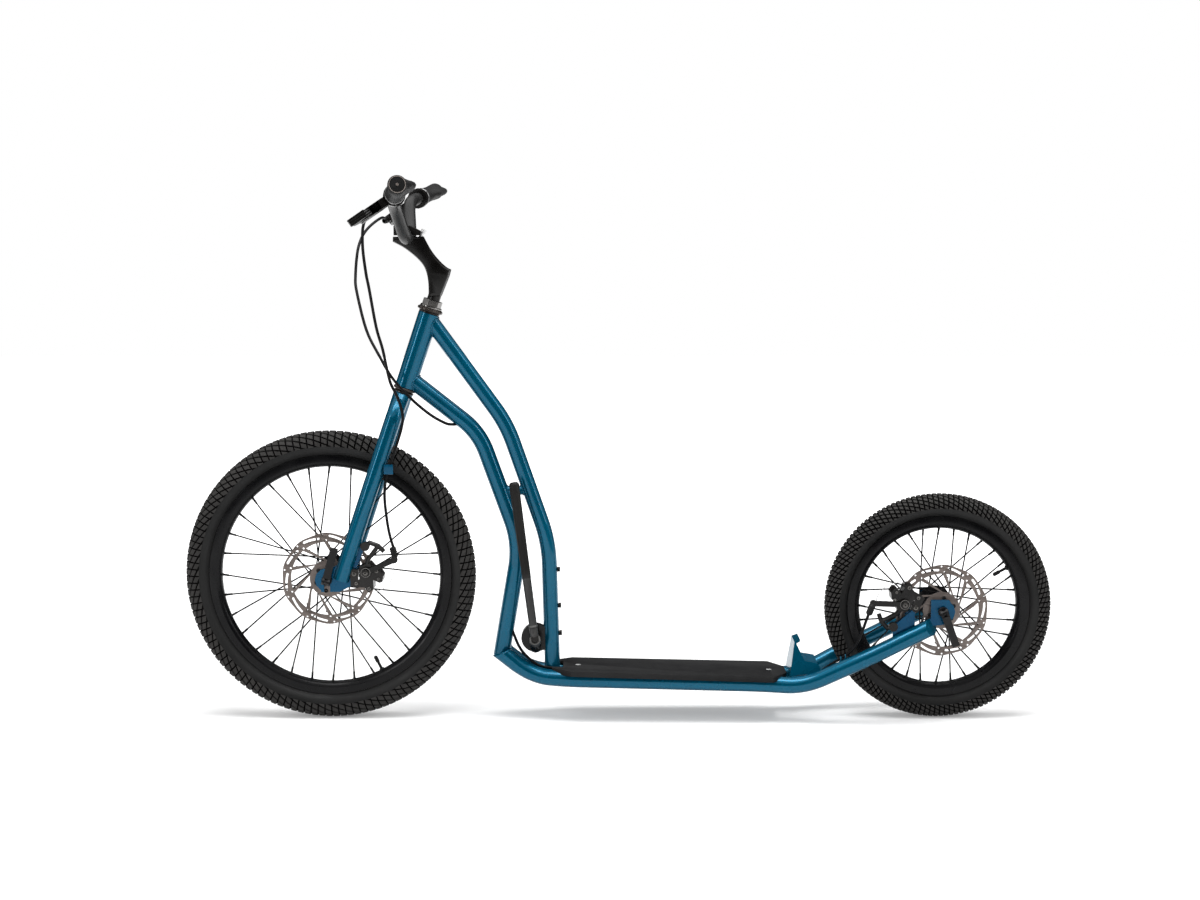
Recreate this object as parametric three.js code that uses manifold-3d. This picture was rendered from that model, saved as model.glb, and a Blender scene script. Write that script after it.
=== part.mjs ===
// Kick bike: a footbike with a large front wheel, a small rear wheel, a low deck between
// two long tubes, cable disc brakes, quick-release axles and a folding side stand.
// Millimetres. +X runs to the rear wheel, -Y is the rider's left, +Z is up, and the
// ground is at zero, midway between the front of one tyre and the back of the other.

import * as THREE from "three";
import { mergeVertices } from "three/addons/utils/BufferGeometryUtils.js";
import Module from "manifold-3d";

const wasm = await Module();
wasm.setup();

const degree = Math.PI / 180;
const half = 0.5;
const left = -1;
const right = 1;

// Fits shared by the whole bike
const gap = 0.3;
const overrun = 40;
const tubeSides = 12;
const boreSides = 6;
const bendRings = 4;

// Wheels
const wheelbase = 1060;
const frontWheel = {
  name: "front", radius: 253, tyreWidth: 50, tyreHeight: 46, treadFlat: 24, rimSink: 44,
  rimDepth: 19, rimWidth: 27, dropoutSpacing: 100, leftFlange: 21, rightFlange: 30, segments: 40,
};
const rearWheel = {
  name: "rear", radius: 198, tyreWidth: 47, tyreHeight: 43, treadFlat: 24, rimSink: 41,
  rimDepth: 20, rimWidth: 27, dropoutSpacing: 110, leftFlange: 26, rightFlange: 32, segments: 36,
};
const rimWall = 1.6;
const rimShares = { innerSide: 0.6, wellHeight: 0.45, wellSide: 0.45 };
const tyreShares = { shoulderDrop: 0.17, shoulderSide: 0.86, wall: 0.13 };
const overallLength = frontWheel.radius + wheelbase + rearWheel.radius;
frontWheel.x = frontWheel.radius - overallLength / 2;
rearWheel.x = overallLength / 2 - rearWheel.radius;
for (const wheel of [frontWheel, rearWheel]) {
  wheel.z = wheel.radius;
  wheel.rimOuter = wheel.radius - wheel.rimSink;
  wheel.rimInner = wheel.rimOuter - wheel.rimDepth;
}

// Hub, spokes and rotor, alike on both wheels
const hub = {
  barrelRadius: 14, flangeRadius: 29, flangeThickness: 3, boltRingRadius: 21, endRadius: 11,
  boreRadius: 5.2, axleRadius: 4.5, rotorOffset: 10.5, sides: 16,
};
const spokes = { count: 32, radius: 1.1, holeInset: 3, crossings: 3, proud: 0.4, rimSide: 2.6 };
const rotor = {
  radius: 80, trackWidth: 16, thickness: 1.8, arms: 10, armWidth: 8, ringRadius: 32, holeRadius: 13,
  wave: 1.6, steps: 40, sweep: 33, slotWidth: 3.8, slotInner: 70.5, slotOuter: 74.5, slotFrom: 27,
  slotTo: 5, frontTurn: 92.5, rearTurn: 86.7,
};
const valve = { radius: 3, length: 27, frontAngle: -63, rearAngle: 29 };

// Head tube and steering axis
const headAngle = 71.6;
const forkReach = 353;
const forkRake = 22.6;
const headTube = { length: 135, radius: 18, wall: 2.6 };
const steererRadius = 12.7;
const cups = { lowerRadius: 20.5, upperRadius: 22, height: 9, lip: 3 };
const lockNut = { radius: 17, height: 14, boreClearance: 0.4 };

// Main tubes. Corners are on the tubes' centre lines.
const mainTube = { radius: 14.3, wall: 2 };
const upperTube = {
  radius: 13.5, headJoin: 128, bendX: -195, bendZ: 517, kneeX: -122.5, kneeZ: 310, footX: -116,
  footZ: 70, bendLength: 32, kneeLength: 26,
};
const lowerTube = {
  headJoin: 18, bendX: -242.5, bendZ: 502, kneeX: -172.5, kneeZ: 308, footX: -204.5, footZ: 117,
  bendLength: 34, kneeLength: 30,
};
const bridge = { radius: 8, height: 401 };

// Deck tubes, which run on as the rear stays
const deck = {
  noseSide: 14.7, nosePlanX: -160, wideX: -96, side: 36, splayX: 250, staySide: 66, stayX: 430,
  kneeX: -153, level: 73.2, levelX: -33, fall: 0.025, stayKneeX: 321, stayRise: 0.503, endX: 540,
  endCutTurn: 38,
};

// Cable clip on the left stay, and the cable guide on the left fork blade
const clip = { x: 387, inset: 6, rise: 16, length: 16, width: 10, height: 8 };
const guide = { z: 452, back: 20, length: 16, thickness: 4, height: 17 };

// Dropout plates
const plate = { thickness: 5, headRadius: 21, slotClearance: 0.6, slotHeight: 64, stayReach: 90 };

// Fork
const fork = {
  bladeRadius: 14, wall: 2, bladeSide: 43, endSide: 56, splayLength: 130, shoulder: 52, crownDrop: 12, endRise: 8,
  crownHeight: 46, crownRadius: 17,
};

// Footboard and what holds it
const board = {
  frontX: -117, frontFullX: -84, rearFullX: 266, rearX: 292, frontWidth: 112, rearWidth: 126,
  frontTipWidth: 62, rearTipWidth: 50, skin: 3.4, height: 9.4, rim: 3, notch: 22, notchDepth: 19,
};
const boardScrew = {
  frontX: -72, rearX: 263, headRadius: 5, shankRadius: 2.5, length: 14, headHeight: 2.5,
};
const crossPlate = { length: 22, thickness: 4 };

// Heel bracket behind the footboard. Its sides lean in, and its gussets' corners are given
// from the foot of its face.
const heel = {
  x: 297, foot: 79, top: 138, topShift: 8.5, footWidth: 84, topWidth: 54, thickness: 3,
  lipLength: 10, lipRise: 4, shoulder: [26, 27], tail: [49, 23], end: [56, 8],
};

// Stem
const stem = {
  clampRise: 110.5, clampReach: 73.6, clampRadius: 21, width: 34, bevel: 5, quillRadius: 11.1, quillDepth: 70,
  neckHeight: 30, slot: 2.4, boltRadius: 4.5, boltOffset: 20.5, boltLean: 28, boltLength: 22,
  reach: 73, drop: 100,
  outlineShares: [
    [0.49, -0.99], [0.77, -0.99], [0.96, -0.65], [1, -0.54], [0.86, -0.49], [0.69, -0.36],
    [0.52, -0.2], [0.38, 0], [0.36, 0.1], [-0.3, 0.1], [-0.34, -0.06], [-0.03, -0.19],
    [0.27, -0.37], [0.43, -0.51], [0.48, -0.68],
  ],
};

// Handlebar, grips and brake levers
const bar = {
  radius: 11.1, wall: 2, straight: 46, elbowReach: 11, elbowSide: 133, rise: 62, sweep: 19,
  width: 700, endRise: 85, bend: 20,
};
const grip = {
  length: 128, radius: 15, flange: 18, flangeLength: 4, cap: 3, sides: 16, wingReach: 31,
  wingTurn: 8, wingThickness: 15,
  wingShares: [[0.04, 0], [0.1, 0.72], [0.3, 1], [0.55, 0.97], [0.82, 0.72], [0.94, 0]],
};
const lever = {
  tilt: 35, clampInset: 144, clampRadius: 18, clampWidth: 14, bodyReach: 66, bodyWidth: 34,
  thickness: 15, barrelReach: 62, barrelRadius: 6, barrelLength: 22, pivotReach: 50, blade: 112,
  bladeReach: 84, bladeThickness: 8, bladeWidth: 12, slot: 13,
};

// Disc brake calipers. The front one's side view is drawn about its arm's pivot, and the rear
// one is the same caliper, turned.
const caliper = {
  pivotReach: 68, pivotRise: 15, depth: 34, footThickness: 6, hubRadius: 12, rearTurn: 154,
  armAngle: 24, armRadius: 53.8, armThickness: 6, armWidth: 9, armHub: 9, armTip: 6, capHeight: 4,
  padGap: 0.4, rotorRoom: 2, earRadius: 4, earDepth: 8, tabRadius: 8, boltRadius: 5,
  mounts: [[-20.5, -3], [-1.5, 44]],
  ear: [[-1.5, 44], [6.5, 50.5], [21, 45], [31, 35]],
  strut: [[21, 45], [4, 22], [0, 8]],
  body: [
    [-10, 10], [6, 15], [14, 6], [13, -1], [23, 2.5], [29.5, -7.5], [28, -17], [23, -19],
    [12, -14], [13, -30], [4, -36], [-3, -27], [-22, -26], [-25, -16], [-12, -14],
  ],
  bracket: [[-27, -24], [-14, -26], [-13, 4], [-27, 4]],
};
const cable = { radius: 2.5, sides: 8, ringShare: 1.5 };
const boot = { radius: 6, length: 20, endGap: 1 };

// Quick-release levers
const quickRelease = {
  eyeRadius: 5, eyeWidth: 5, cheek: 4, cheekRadius: 7, pinRadius: 2, length: 60, width: 13,
  thickness: 5, standOff: 6, nutRadius: 9, nutLength: 9, frontLean: 15, rearLean: 160,
};

// Side stand
const stand = {
  pivotX: -146, pivotY: -29, pivotZ: 141, tilt: 32, lean: 7.3, length: 276, footRadius: 8.5,
  neckRadius: 6.8, hubRadius: 10, hubLength: 13, pinRadius: 4, headRadius: 7, headLength: 3,
  bracketRadius: 25, bracketThickness: 15,
};

// Bolts on the back of the upright tube
const bolts = {
  radius: 3, headRadius: 4.6, headLength: 5, depth: 6, upperBottleZ: 262, lowerBottleZ: 198,
  standZ: 149,
};

const paint = { color: 0x0f6a93, roughness: 0.3, metalness: 0.5 };
const finishes = {
  paint,
  black: { color: 0x151515, roughness: 0.45, metalness: 0.3 },
  satin: { color: 0x3c3c3e, roughness: 0.4, metalness: 0.6 },
  steel: { color: 0x8b7f7a, roughness: 0.35, metalness: 0.9 },
  bronze: { color: 0x4d4039, roughness: 0.3, metalness: 0.8 },
  rubber: { color: 0x222222, roughness: 0.85, metalness: 0 },
  plastic: { color: 0x2a2a2a, roughness: 0.7, metalness: 0 },
  cable: { color: 0x0d0d0d, roughness: 0.5, metalness: 0 },
};

// Geometry helpers

function at(x, y, z) {
  return new THREE.Vector3(x, y, z);
}

function pair(x, y) {
  return new THREE.Vector2(x, y);
}

// A closed mesh as a solid, with its faces turned outward
function solid(geometry) {
  const bare = geometry.clone();
  for (const key of Object.keys(bare.attributes)) {
    if (key !== "position") {
      bare.deleteAttribute(key);
    }
  }
  const merged = mergeVertices(bare, gap / 1000);
  const vertProperties = Float32Array.from(merged.attributes.position.array);
  const triVerts = Uint32Array.from(merged.index.array);
  const a = new THREE.Vector3();
  const b = new THREE.Vector3();
  const c = new THREE.Vector3();
  let volume = 0;
  for (let i = 0; i < triVerts.length; i += 3) {
    a.fromArray(vertProperties, 3 * triVerts[i]);
    b.fromArray(vertProperties, 3 * triVerts[i + 1]);
    c.fromArray(vertProperties, 3 * triVerts[i + 2]);
    volume += a.dot(b.cross(c));
  }
  if (volume < 0) {
    for (let i = 0; i < triVerts.length; i += 3) {
      [triVerts[i], triVerts[i + 1]] = [triVerts[i + 1], triVerts[i]];
    }
  }
  return new wasm.Manifold(new wasm.Mesh({ numProp: 3, vertProperties, triVerts }));
}

function shell(manifold) {
  const mesh = manifold.getMesh();
  const geometry = new THREE.BufferGeometry();
  geometry.setAttribute("position", new THREE.BufferAttribute(mesh.vertProperties, 3));
  geometry.setIndex(new THREE.BufferAttribute(mesh.triVerts, 1));
  geometry.computeVertexNormals();
  return geometry;
}

// The corner radius of a hole whose flats clear a round bar, however it is turned
function holeFor(radius) {
  return (radius + gap) / Math.cos(Math.PI / tubeSides);
}

function union(first, ...others) {
  return others.reduce((sum, item) => sum.add(item), first);
}

function minus(first, ...others) {
  return others.reduce((rest, item) => rest.subtract(item), first);
}

// The largest of a solid's separate pieces, without the slivers that a cut leaves
function biggestOf(manifold) {
  return manifold.decompose().sort((a, b) => b.volume() - a.volume())[0];
}

// A round bar between two points
function rod(from, to, radius, sides = tubeSides, endRadius = radius) {
  const axis = to.clone().sub(from);
  const geometry = new THREE.CylinderGeometry(endRadius, radius, axis.length(), sides);
  const turn = new THREE.Quaternion().setFromUnitVectors(at(0, 1, 0), axis.clone().normalize());
  geometry.applyQuaternion(turn);
  const middle = from.clone().lerp(to, half);
  geometry.translate(middle.x, middle.y, middle.z);
  return solid(geometry);
}

// A lathed ring or bar about an axle line that runs along Y
function turned(profile, x, z, segments, phase = 0) {
  const points = profile.map(([radius, y]) => pair(radius, y));
  points.push(points[0].clone());
  const geometry = new THREE.LatheGeometry(points, segments, phase);
  geometry.translate(x, 0, z);
  return solid(geometry);
}

// A round bar or a tube through a list of points. Its faces are flat, because each ring of
// corners is the one before it, slid along the run until it meets the next mitre.
function pipe(points, radius, sides = tubeSides, boreRadius = 0) {
  const last = points.length - 1;
  const runs = points.slice(1).map((point, i) => point.clone().sub(points[i]).normalize());
  const guess = Math.abs(runs[0].y) < half ? at(0, 1, 0) : at(1, 0, 0);
  const across = guess.addScaledVector(runs[0], -guess.dot(runs[0])).normalize();
  const beside = runs[0].clone().cross(across);
  const layer = (size, count) => {
    let corners = Array.from({ length: count }, (unused, k) => {
      const angle = 2 * Math.PI * (k + half) / count;
      const corner = points[0].clone().addScaledVector(across, size * Math.cos(angle));
      return corner.addScaledVector(beside, size * Math.sin(angle));
    });
    const positions = corners.flatMap((corner) => corner.toArray());
    const faces = [];
    for (let i = 1; i <= last; i += 1) {
      const run = runs[i - 1];
      const mitre = run.clone().add(runs[Math.min(i, last - 1)]);
      corners = corners.map((corner) => {
        const slide = points[i].clone().sub(corner).dot(mitre) / run.dot(mitre);
        return corner.clone().addScaledVector(run, slide);
      });
      positions.push(...corners.flatMap((corner) => corner.toArray()));
      for (let k = 0; k < count; k += 1) {
        const here = (i - 1) * count + k;
        const next = (i - 1) * count + (k + 1) % count;
        faces.push(here, next, here + count, next, next + count, here + count);
      }
    }
    for (let k = 1; k < count - 1; k += 1) {
      faces.push(0, k + 1, k, last * count, last * count + k, last * count + k + 1);
    }
    const geometry = new THREE.BufferGeometry();
    geometry.setAttribute("position", new THREE.Float32BufferAttribute(positions, 3));
    geometry.setIndex(faces);
    return solid(geometry);
  };
  const outer = layer(radius, sides);
  return boreRadius > 0 ? outer.subtract(layer(boreRadius, boreSides)) : outer;
}

// Straight runs joined by smooth bends, each bend starting a set length before its corner
function bentPoints(corners, lengths) {
  const points = [corners[0]];
  for (let i = 1; i < corners.length - 1; i += 1) {
    const corner = corners[i];
    const length = lengths[i - 1];
    const start = corner.clone().lerp(corners[i - 1], length / corner.distanceTo(corners[i - 1]));
    const end = corner.clone().lerp(corners[i + 1], length / corner.distanceTo(corners[i + 1]));
    points.push(...new THREE.QuadraticBezierCurve3(start, corner, end).getPoints(bendRings));
  }
  points.push(corners[corners.length - 1]);
  return points;
}

// A flat plate drawn in side view, from one Y to another
function sidePlate(outline, fromY, toY) {
  const shape = new THREE.Shape(outline.map(([x, z]) => pair(x, z)));
  const depth = Math.abs(toY - fromY);
  const geometry = new THREE.ExtrudeGeometry(shape, { depth, bevelEnabled: false });
  geometry.rotateX(Math.PI / 2);
  geometry.translate(0, Math.max(fromY, toY), 0);
  return solid(geometry);
}

function block(sizeX, sizeY, sizeZ, centre, turn = new THREE.Quaternion()) {
  const geometry = new THREE.BoxGeometry(sizeX, sizeY, sizeZ);
  geometry.applyQuaternion(turn);
  geometry.translate(centre.x, centre.y, centre.z);
  return solid(geometry);
}

// Everything on the side of a plane that its normal points to
function beyond(point, normal, size) {
  const turn = new THREE.Quaternion().setFromUnitVectors(at(0, 0, 1), normal.clone().normalize());
  const centre = point.clone().addScaledVector(normal.clone().normalize(), size / 2);
  return block(size, size, size, centre, turn);
}

const bike = new THREE.Group();

function add(name, manifold, finish) {
  const mesh = new THREE.Mesh(shell(manifold), new THREE.MeshStandardMaterial(finishes[finish]));
  mesh.name = name;
  bike.add(mesh);
}

// Steering axis: a point at a height above the head tube's foot, a distance behind the
// axis and a distance to one side
const lean = (90 - headAngle) * degree;
const headUp = at(Math.sin(lean), 0, Math.cos(lean));
const headBack = at(Math.cos(lean), 0, -Math.sin(lean));
const frontAxle = at(frontWheel.x, 0, frontWheel.z);
const rearAxle = at(rearWheel.x, 0, rearWheel.z);

function onHead(height, back = 0, side = 0) {
  const point = frontAxle.clone().addScaledVector(headUp, forkReach + height);
  point.addScaledVector(headBack, forkRake + back);
  point.y += side;
  return point;
}

function headRod(from, to, radius, sides = 2 * tubeSides, topRadius = radius) {
  return rod(onHead(from), onHead(to), radius, sides, topRadius);
}

// The middle of the handlebar, held by the stem ahead of the steering axis
const barCentre = onHead(headTube.length + stem.clampRise, -stem.clampReach);

// Frame tubes. Each can be made thicker by a margin, to cut its neighbours to it.

const upperCorners = [
  onHead(upperTube.headJoin), at(upperTube.bendX, 0, upperTube.bendZ),
  at(upperTube.kneeX, 0, upperTube.kneeZ), at(upperTube.footX, 0, upperTube.footZ),
];
const lowerCorners = [
  onHead(lowerTube.headJoin), at(lowerTube.bendX, 0, lowerTube.bendZ),
  at(lowerTube.kneeX, 0, lowerTube.kneeZ), at(lowerTube.footX, 0, lowerTube.footZ),
];

function upperRun(radius, bore = 0) {
  const lengths = [upperTube.bendLength, upperTube.kneeLength];
  return pipe(bentPoints(upperCorners, lengths), radius, tubeSides, bore);
}

function lowerRun(radius, bore = 0) {
  const corners = lowerCorners.map((corner) => corner.clone());
  const foot = corners[corners.length - 1];
  foot.lerp(corners[corners.length - 2], -overrun / foot.distanceTo(corners[corners.length - 2]));
  const lengths = [lowerTube.bendLength, lowerTube.kneeLength];
  return pipe(bentPoints(corners, lengths), radius, tubeSides, bore);
}

function deckHeight(x) {
  return deck.level - deck.fall * (x - deck.levelX);
}

const stayKnee = at(deck.stayKneeX, 0, deckHeight(deck.stayKneeX));

function stayHeight(x) {
  return stayKnee.z + deck.stayRise * (x - deck.stayKneeX);
}

// How far a deck tube's centre line lies from the middle of the bike
function deckSide(x) {
  const plan = [
    [deck.nosePlanX, deck.noseSide], [deck.wideX, deck.side], [deck.splayX, deck.side],
    [deck.stayX, deck.staySide],
  ];
  if (x <= plan[0][0]) {
    return plan[0][1];
  }
  for (let i = 1; i < plan.length; i += 1) {
    if (x <= plan[i][0]) {
      const share = (x - plan[i - 1][0]) / (plan[i][0] - plan[i - 1][0]);
      return plan[i - 1][1] + share * (plan[i][1] - plan[i - 1][1]);
    }
  }
  return plan[plan.length - 1][1];
}

const lowerFoot = lowerCorners[lowerCorners.length - 1];
const noseCorner = at(deck.kneeX, 0, deckHeight(deck.kneeX));
const noseRun = noseCorner.clone().sub(lowerFoot).normalize();
const lowerRunDown = lowerFoot.clone().sub(lowerCorners[lowerCorners.length - 2]).normalize();
const mitreNormal = noseRun.clone().add(lowerRunDown).normalize();

function deckCentre(x) {
  let z = deckHeight(x);
  if (x < deck.kneeX) {
    z = noseCorner.z + (x - deck.kneeX) * noseRun.z / noseRun.x;
  }
  if (x > deck.stayKneeX) {
    z = stayHeight(x);
  }
  return z;
}

function deckRun(side, radius, bore = 0) {
  const places = [
    lowerFoot.x - noseRun.x * mainTube.radius, deck.nosePlanX, deck.wideX, deck.splayX,
    deck.stayX, deck.endX,
  ];
  const points = [];
  const span = (from, to, count) => {
    for (let i = 0; i < count; i += 1) {
      points.push(from + (to - from) * i / count);
    }
  };
  span(places[0], places[1], 3);
  span(places[1], places[2], 4);
  span(places[2], places[3], 3);
  span(places[3], places[4], 4);
  span(places[4], places[5], 3);
  points.push(places[5]);
  const smooth = (value, x) => {
    const reach = mainTube.radius * 2;
    const samples = [-1, -half, 0, half, 1].map((share) => value(x + share * reach));
    return samples.reduce((sum, item) => sum + item, 0) / samples.length;
  };
  const centres = points.map((x) => at(x, side * smooth(deckSide, x), smooth(deckCentre, x)));
  return pipe(centres, radius, tubeSides, bore);
}

const wallOff = (tube) => tube.radius - mainTube.wall;
const fatHead = () => headRod(-overrun, headTube.length + overrun, headTube.radius + gap);
const fatDeck = (side) => deckRun(side, mainTube.radius + gap);

// Cables. The points lie on each cable's centre line and were chosen by eye.

const frontCablePoints = [
  [-414, -161, 873], [-418, -146, 868], [-423, -134, 852], [-424, -128, 820], [-420, -121, 779],
  [-416, -115, 754], [-407, -99, 690], [-398, -89, 653], [-391, -80, 613], [-386, -75, 592],
  [-378, -69, 574], [-371, -65, 553], [-368, -63, 535], [-371, -61, 515], [-379, -60, 489],
  [-389, -60, 458], [-398, -60, 430], [-401, -61, 400], [-398, -63, 365], [-393, -65, 335],
  [-386, -64.6, 309],
];
const rearLoopPoints = [
  [-414, 161, 873], [-422, 146, 872], [-436, 130, 862], [-448, 112, 848], [-455, 96, 832],
  [-459, 80, 810], [-460, 58, 771], [-456, 40, 744], [-436, 4, 680], [-412, -22, 638],
  [-388, -36, 600], [-358, -36, 566], [-326, -27, 537], [-300, -14, 520], [-288, -7, 517],
  [-281, -3.6, 517],
];
const rearCablePoints = [
  [-280.6, -3.4, 517], [-273, -1, 516.8], [-262, 0, 514], [-246, 0, 497], [-232, 0, 470],
  [-210, 0, 415], [-186, 0, 350], [-176, 0, 308], [-182, -1, 250], [-191, -2, 200],
  [-192, -4, 172], [-184, -6, 148], [-172, -9, 122], [-154, -13, 103], [-136, -16.5, 93],
  [-116, -17.2, 89.6], [-98, -16, 84], [-84, -13, 74], [-60, -10, 66], [0, -10, 64],
  [100, -10, 62], [200, -10, 60], [260, -12, 60], [310, -22, 64], [345, -33, 84],
  [368, -42, 102], [385, -50, 115], [397, -55, 125], [408, -60, 140], [418, -65, 165],
  [426, -68.5, 190], [429.5, -69.6, 200],
];

function cableRun(points, radius) {
  const path = points.map((point) => at(...point));
  const curve = new THREE.CatmullRomCurve3(path, false, "centripetal");
  return pipe(curve.getPoints(Math.round(points.length * cable.ringShare)), radius, cable.sides);
}

const fatRearCable = () => {
  return cableRun([...rearLoopPoints.slice(-3), ...rearCablePoints.slice(1)], holeFor(cable.radius));
};

function makeFrameTubes() {
  const head = minus(
    headRod(0, headTube.length, headTube.radius),
    headRod(-overrun, headTube.length + overrun, headTube.radius - headTube.wall),
  );
  add("head_tube", head, "paint");

  const holes = [bolts.upperBottleZ, bolts.lowerBottleZ, bolts.standZ].map((z) => {
    return rod(at(upperTube.footX, 0, z), at(upperTube.footX + overrun, 0, z), bolts.radius + gap);
  });
  const upper = minus(
    upperRun(upperTube.radius, upperTube.radius - mainTube.wall), fatHead(), ...holes,
  );
  add("upper_main_tube", upper, "paint");

  const foot = lowerFoot.clone();
  const lower = minus(
    lowerRun(mainTube.radius, wallOff(mainTube)), fatHead(),
    headRod(-overrun, 0, cups.lowerRadius + gap),
    upperRun(upperTube.radius + gap), beyond(foot, mitreNormal, 4 * overrun), fatRearCable(),
  );
  add("lower_main_tube", lower, "paint");

  const spanEnds = [lowerCorners, upperCorners].map((corners) => {
    const share = (corners[1].z - bridge.height) / (corners[1].z - corners[2].z);
    return corners[1].clone().lerp(corners[2], share);
  });
  const strut = minus(
    rod(spanEnds[0], spanEnds[1], bridge.radius), lowerRun(mainTube.radius + gap),
    upperRun(upperTube.radius + gap),
  );
  add("tube_bridge", strut, "paint");

  for (const [name, side] of [["left_deck_tube", left], ["right_deck_tube", right]]) {
    const nose = foot.clone().addScaledVector(mitreNormal, gap);
    const endPoint = at(deck.endX - mainTube.radius, side * deck.staySide, stayHeight(deck.endX));
    const endTurn = deck.endCutTurn * degree;
    const endNormal = at(Math.cos(endTurn), side * Math.sin(endTurn), Math.cos(endTurn) * half);
    let whole = deckRun(side, mainTube.radius, wallOff(mainTube));
    if (side === left) {
      const clipSide = left * (deckSide(clip.x) - clip.inset);
      const clipTop = at(clip.x, clipSide, stayHeight(clip.x) + clip.rise);
      const turn = new THREE.Quaternion().setFromAxisAngle(at(0, 1, 0), -Math.atan(deck.stayRise));
      whole = whole.add(block(clip.length, clip.width, clip.height, clipTop, turn));
    }
    const slotFrom = rearWheel.x - plate.stayReach;
    const slotTo = slotFrom + 4 * overrun;
    const slotRoom = sidePlate([
      [slotFrom, stayHeight(slotFrom) - plate.thickness / 2],
      [slotTo, stayHeight(slotTo) - plate.thickness / 2],
      [slotTo, stayHeight(slotTo) + overrun], [slotFrom, stayHeight(slotFrom) + overrun],
    ], side * (rearDrop.inner - gap), side * (rearDrop.outer + gap));
    const tube = minus(
      whole, slotRoom,
      beyond(nose, mitreNormal.clone().negate(), 4 * overrun),
      beyond(endPoint.addScaledVector(endNormal, mainTube.radius * half), endNormal, 4 * overrun),
      fatRearCable(),
    );
    add(name, biggestOf(tube), "paint");
  }
}

function makeHeadset() {
  const bore = steererRadius + gap;
  const upperTop = headTube.length + gap + cups.height;
  const upper = minus(
    union(
      headRod(headTube.length + gap, upperTop, cups.upperRadius),
      headRod(headTube.length - cups.height, upperTop, headTube.radius - headTube.wall - gap),
    ),
    headRod(0, upperTop + overrun, bore),
  );
  add("upper_headset_cup", upper, "bronze");
  const lower = minus(
    union(
      headRod(-gap - cups.height, -gap, cups.lowerRadius),
      headRod(-gap - cups.height, cups.height, headTube.radius - headTube.wall - gap),
    ),
    headRod(-overrun, overrun, bore),
  );
  add("lower_headset_cup", lower, "bronze");
  const nutFrom = upperTop + gap;
  const nut = minus(
    union(
      headRod(nutFrom, nutFrom + cups.lip, cups.upperRadius - cups.lip),
      headRod(nutFrom, nutFrom + lockNut.height, lockNut.radius, boreSides),
    ),
    headRod(nutFrom - overrun, nutFrom + overrun, bore),
  );
  add("headset_lock_nut", nut, "bronze");
}

const crownTop = -2 * gap - cups.height;

function bladeRun(side, radius, bore = 0) {
  const end = fork.endRise - forkReach;
  const shoulder = crownTop - fork.shoulder;
  const corners = [
    onHead(crownTop - fork.crownDrop, 0, side * fork.crownRadius),
    onHead(crownTop - fork.crownDrop - fork.shoulder * half, 0, side * fork.bladeSide),
    onHead(shoulder - fork.splayLength, 0, side * fork.endSide),
    onHead(end, 0, side * fork.endSide),
  ];
  return pipe(bentPoints(corners, [fork.bladeRadius, fork.bladeRadius]), radius, tubeSides, bore);
}

function dropoutHead(axle, fromY, toY) {
  const clear = at(axle.x, fromY, axle.z);
  const far = at(axle.x, toY, axle.z);
  return rod(clear, far, plate.headRadius, tubeSides);
}

function axleSlot(axle, angle) {
  const reach = at(Math.cos(angle), 0, Math.sin(angle));
  const radius = hub.axleRadius + plate.slotClearance;
  const centre = axle.clone().addScaledVector(reach, overrun / 2);
  const turn = new THREE.Quaternion().setFromAxisAngle(at(0, 1, 0), -angle);
  const span = 8 * overrun;
  return union(
    block(overrun, span, 2 * radius, centre, turn),
    rod(at(axle.x, -span / 2, axle.z), at(axle.x, span / 2, axle.z), radius),
  );
}

const frontDrop = { inner: frontWheel.dropoutSpacing / 2 + gap };
frontDrop.outer = frontDrop.inner + plate.thickness;
const rearDrop = { inner: rearWheel.dropoutSpacing / 2 + gap };
rearDrop.outer = rearDrop.inner + plate.thickness;

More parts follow.
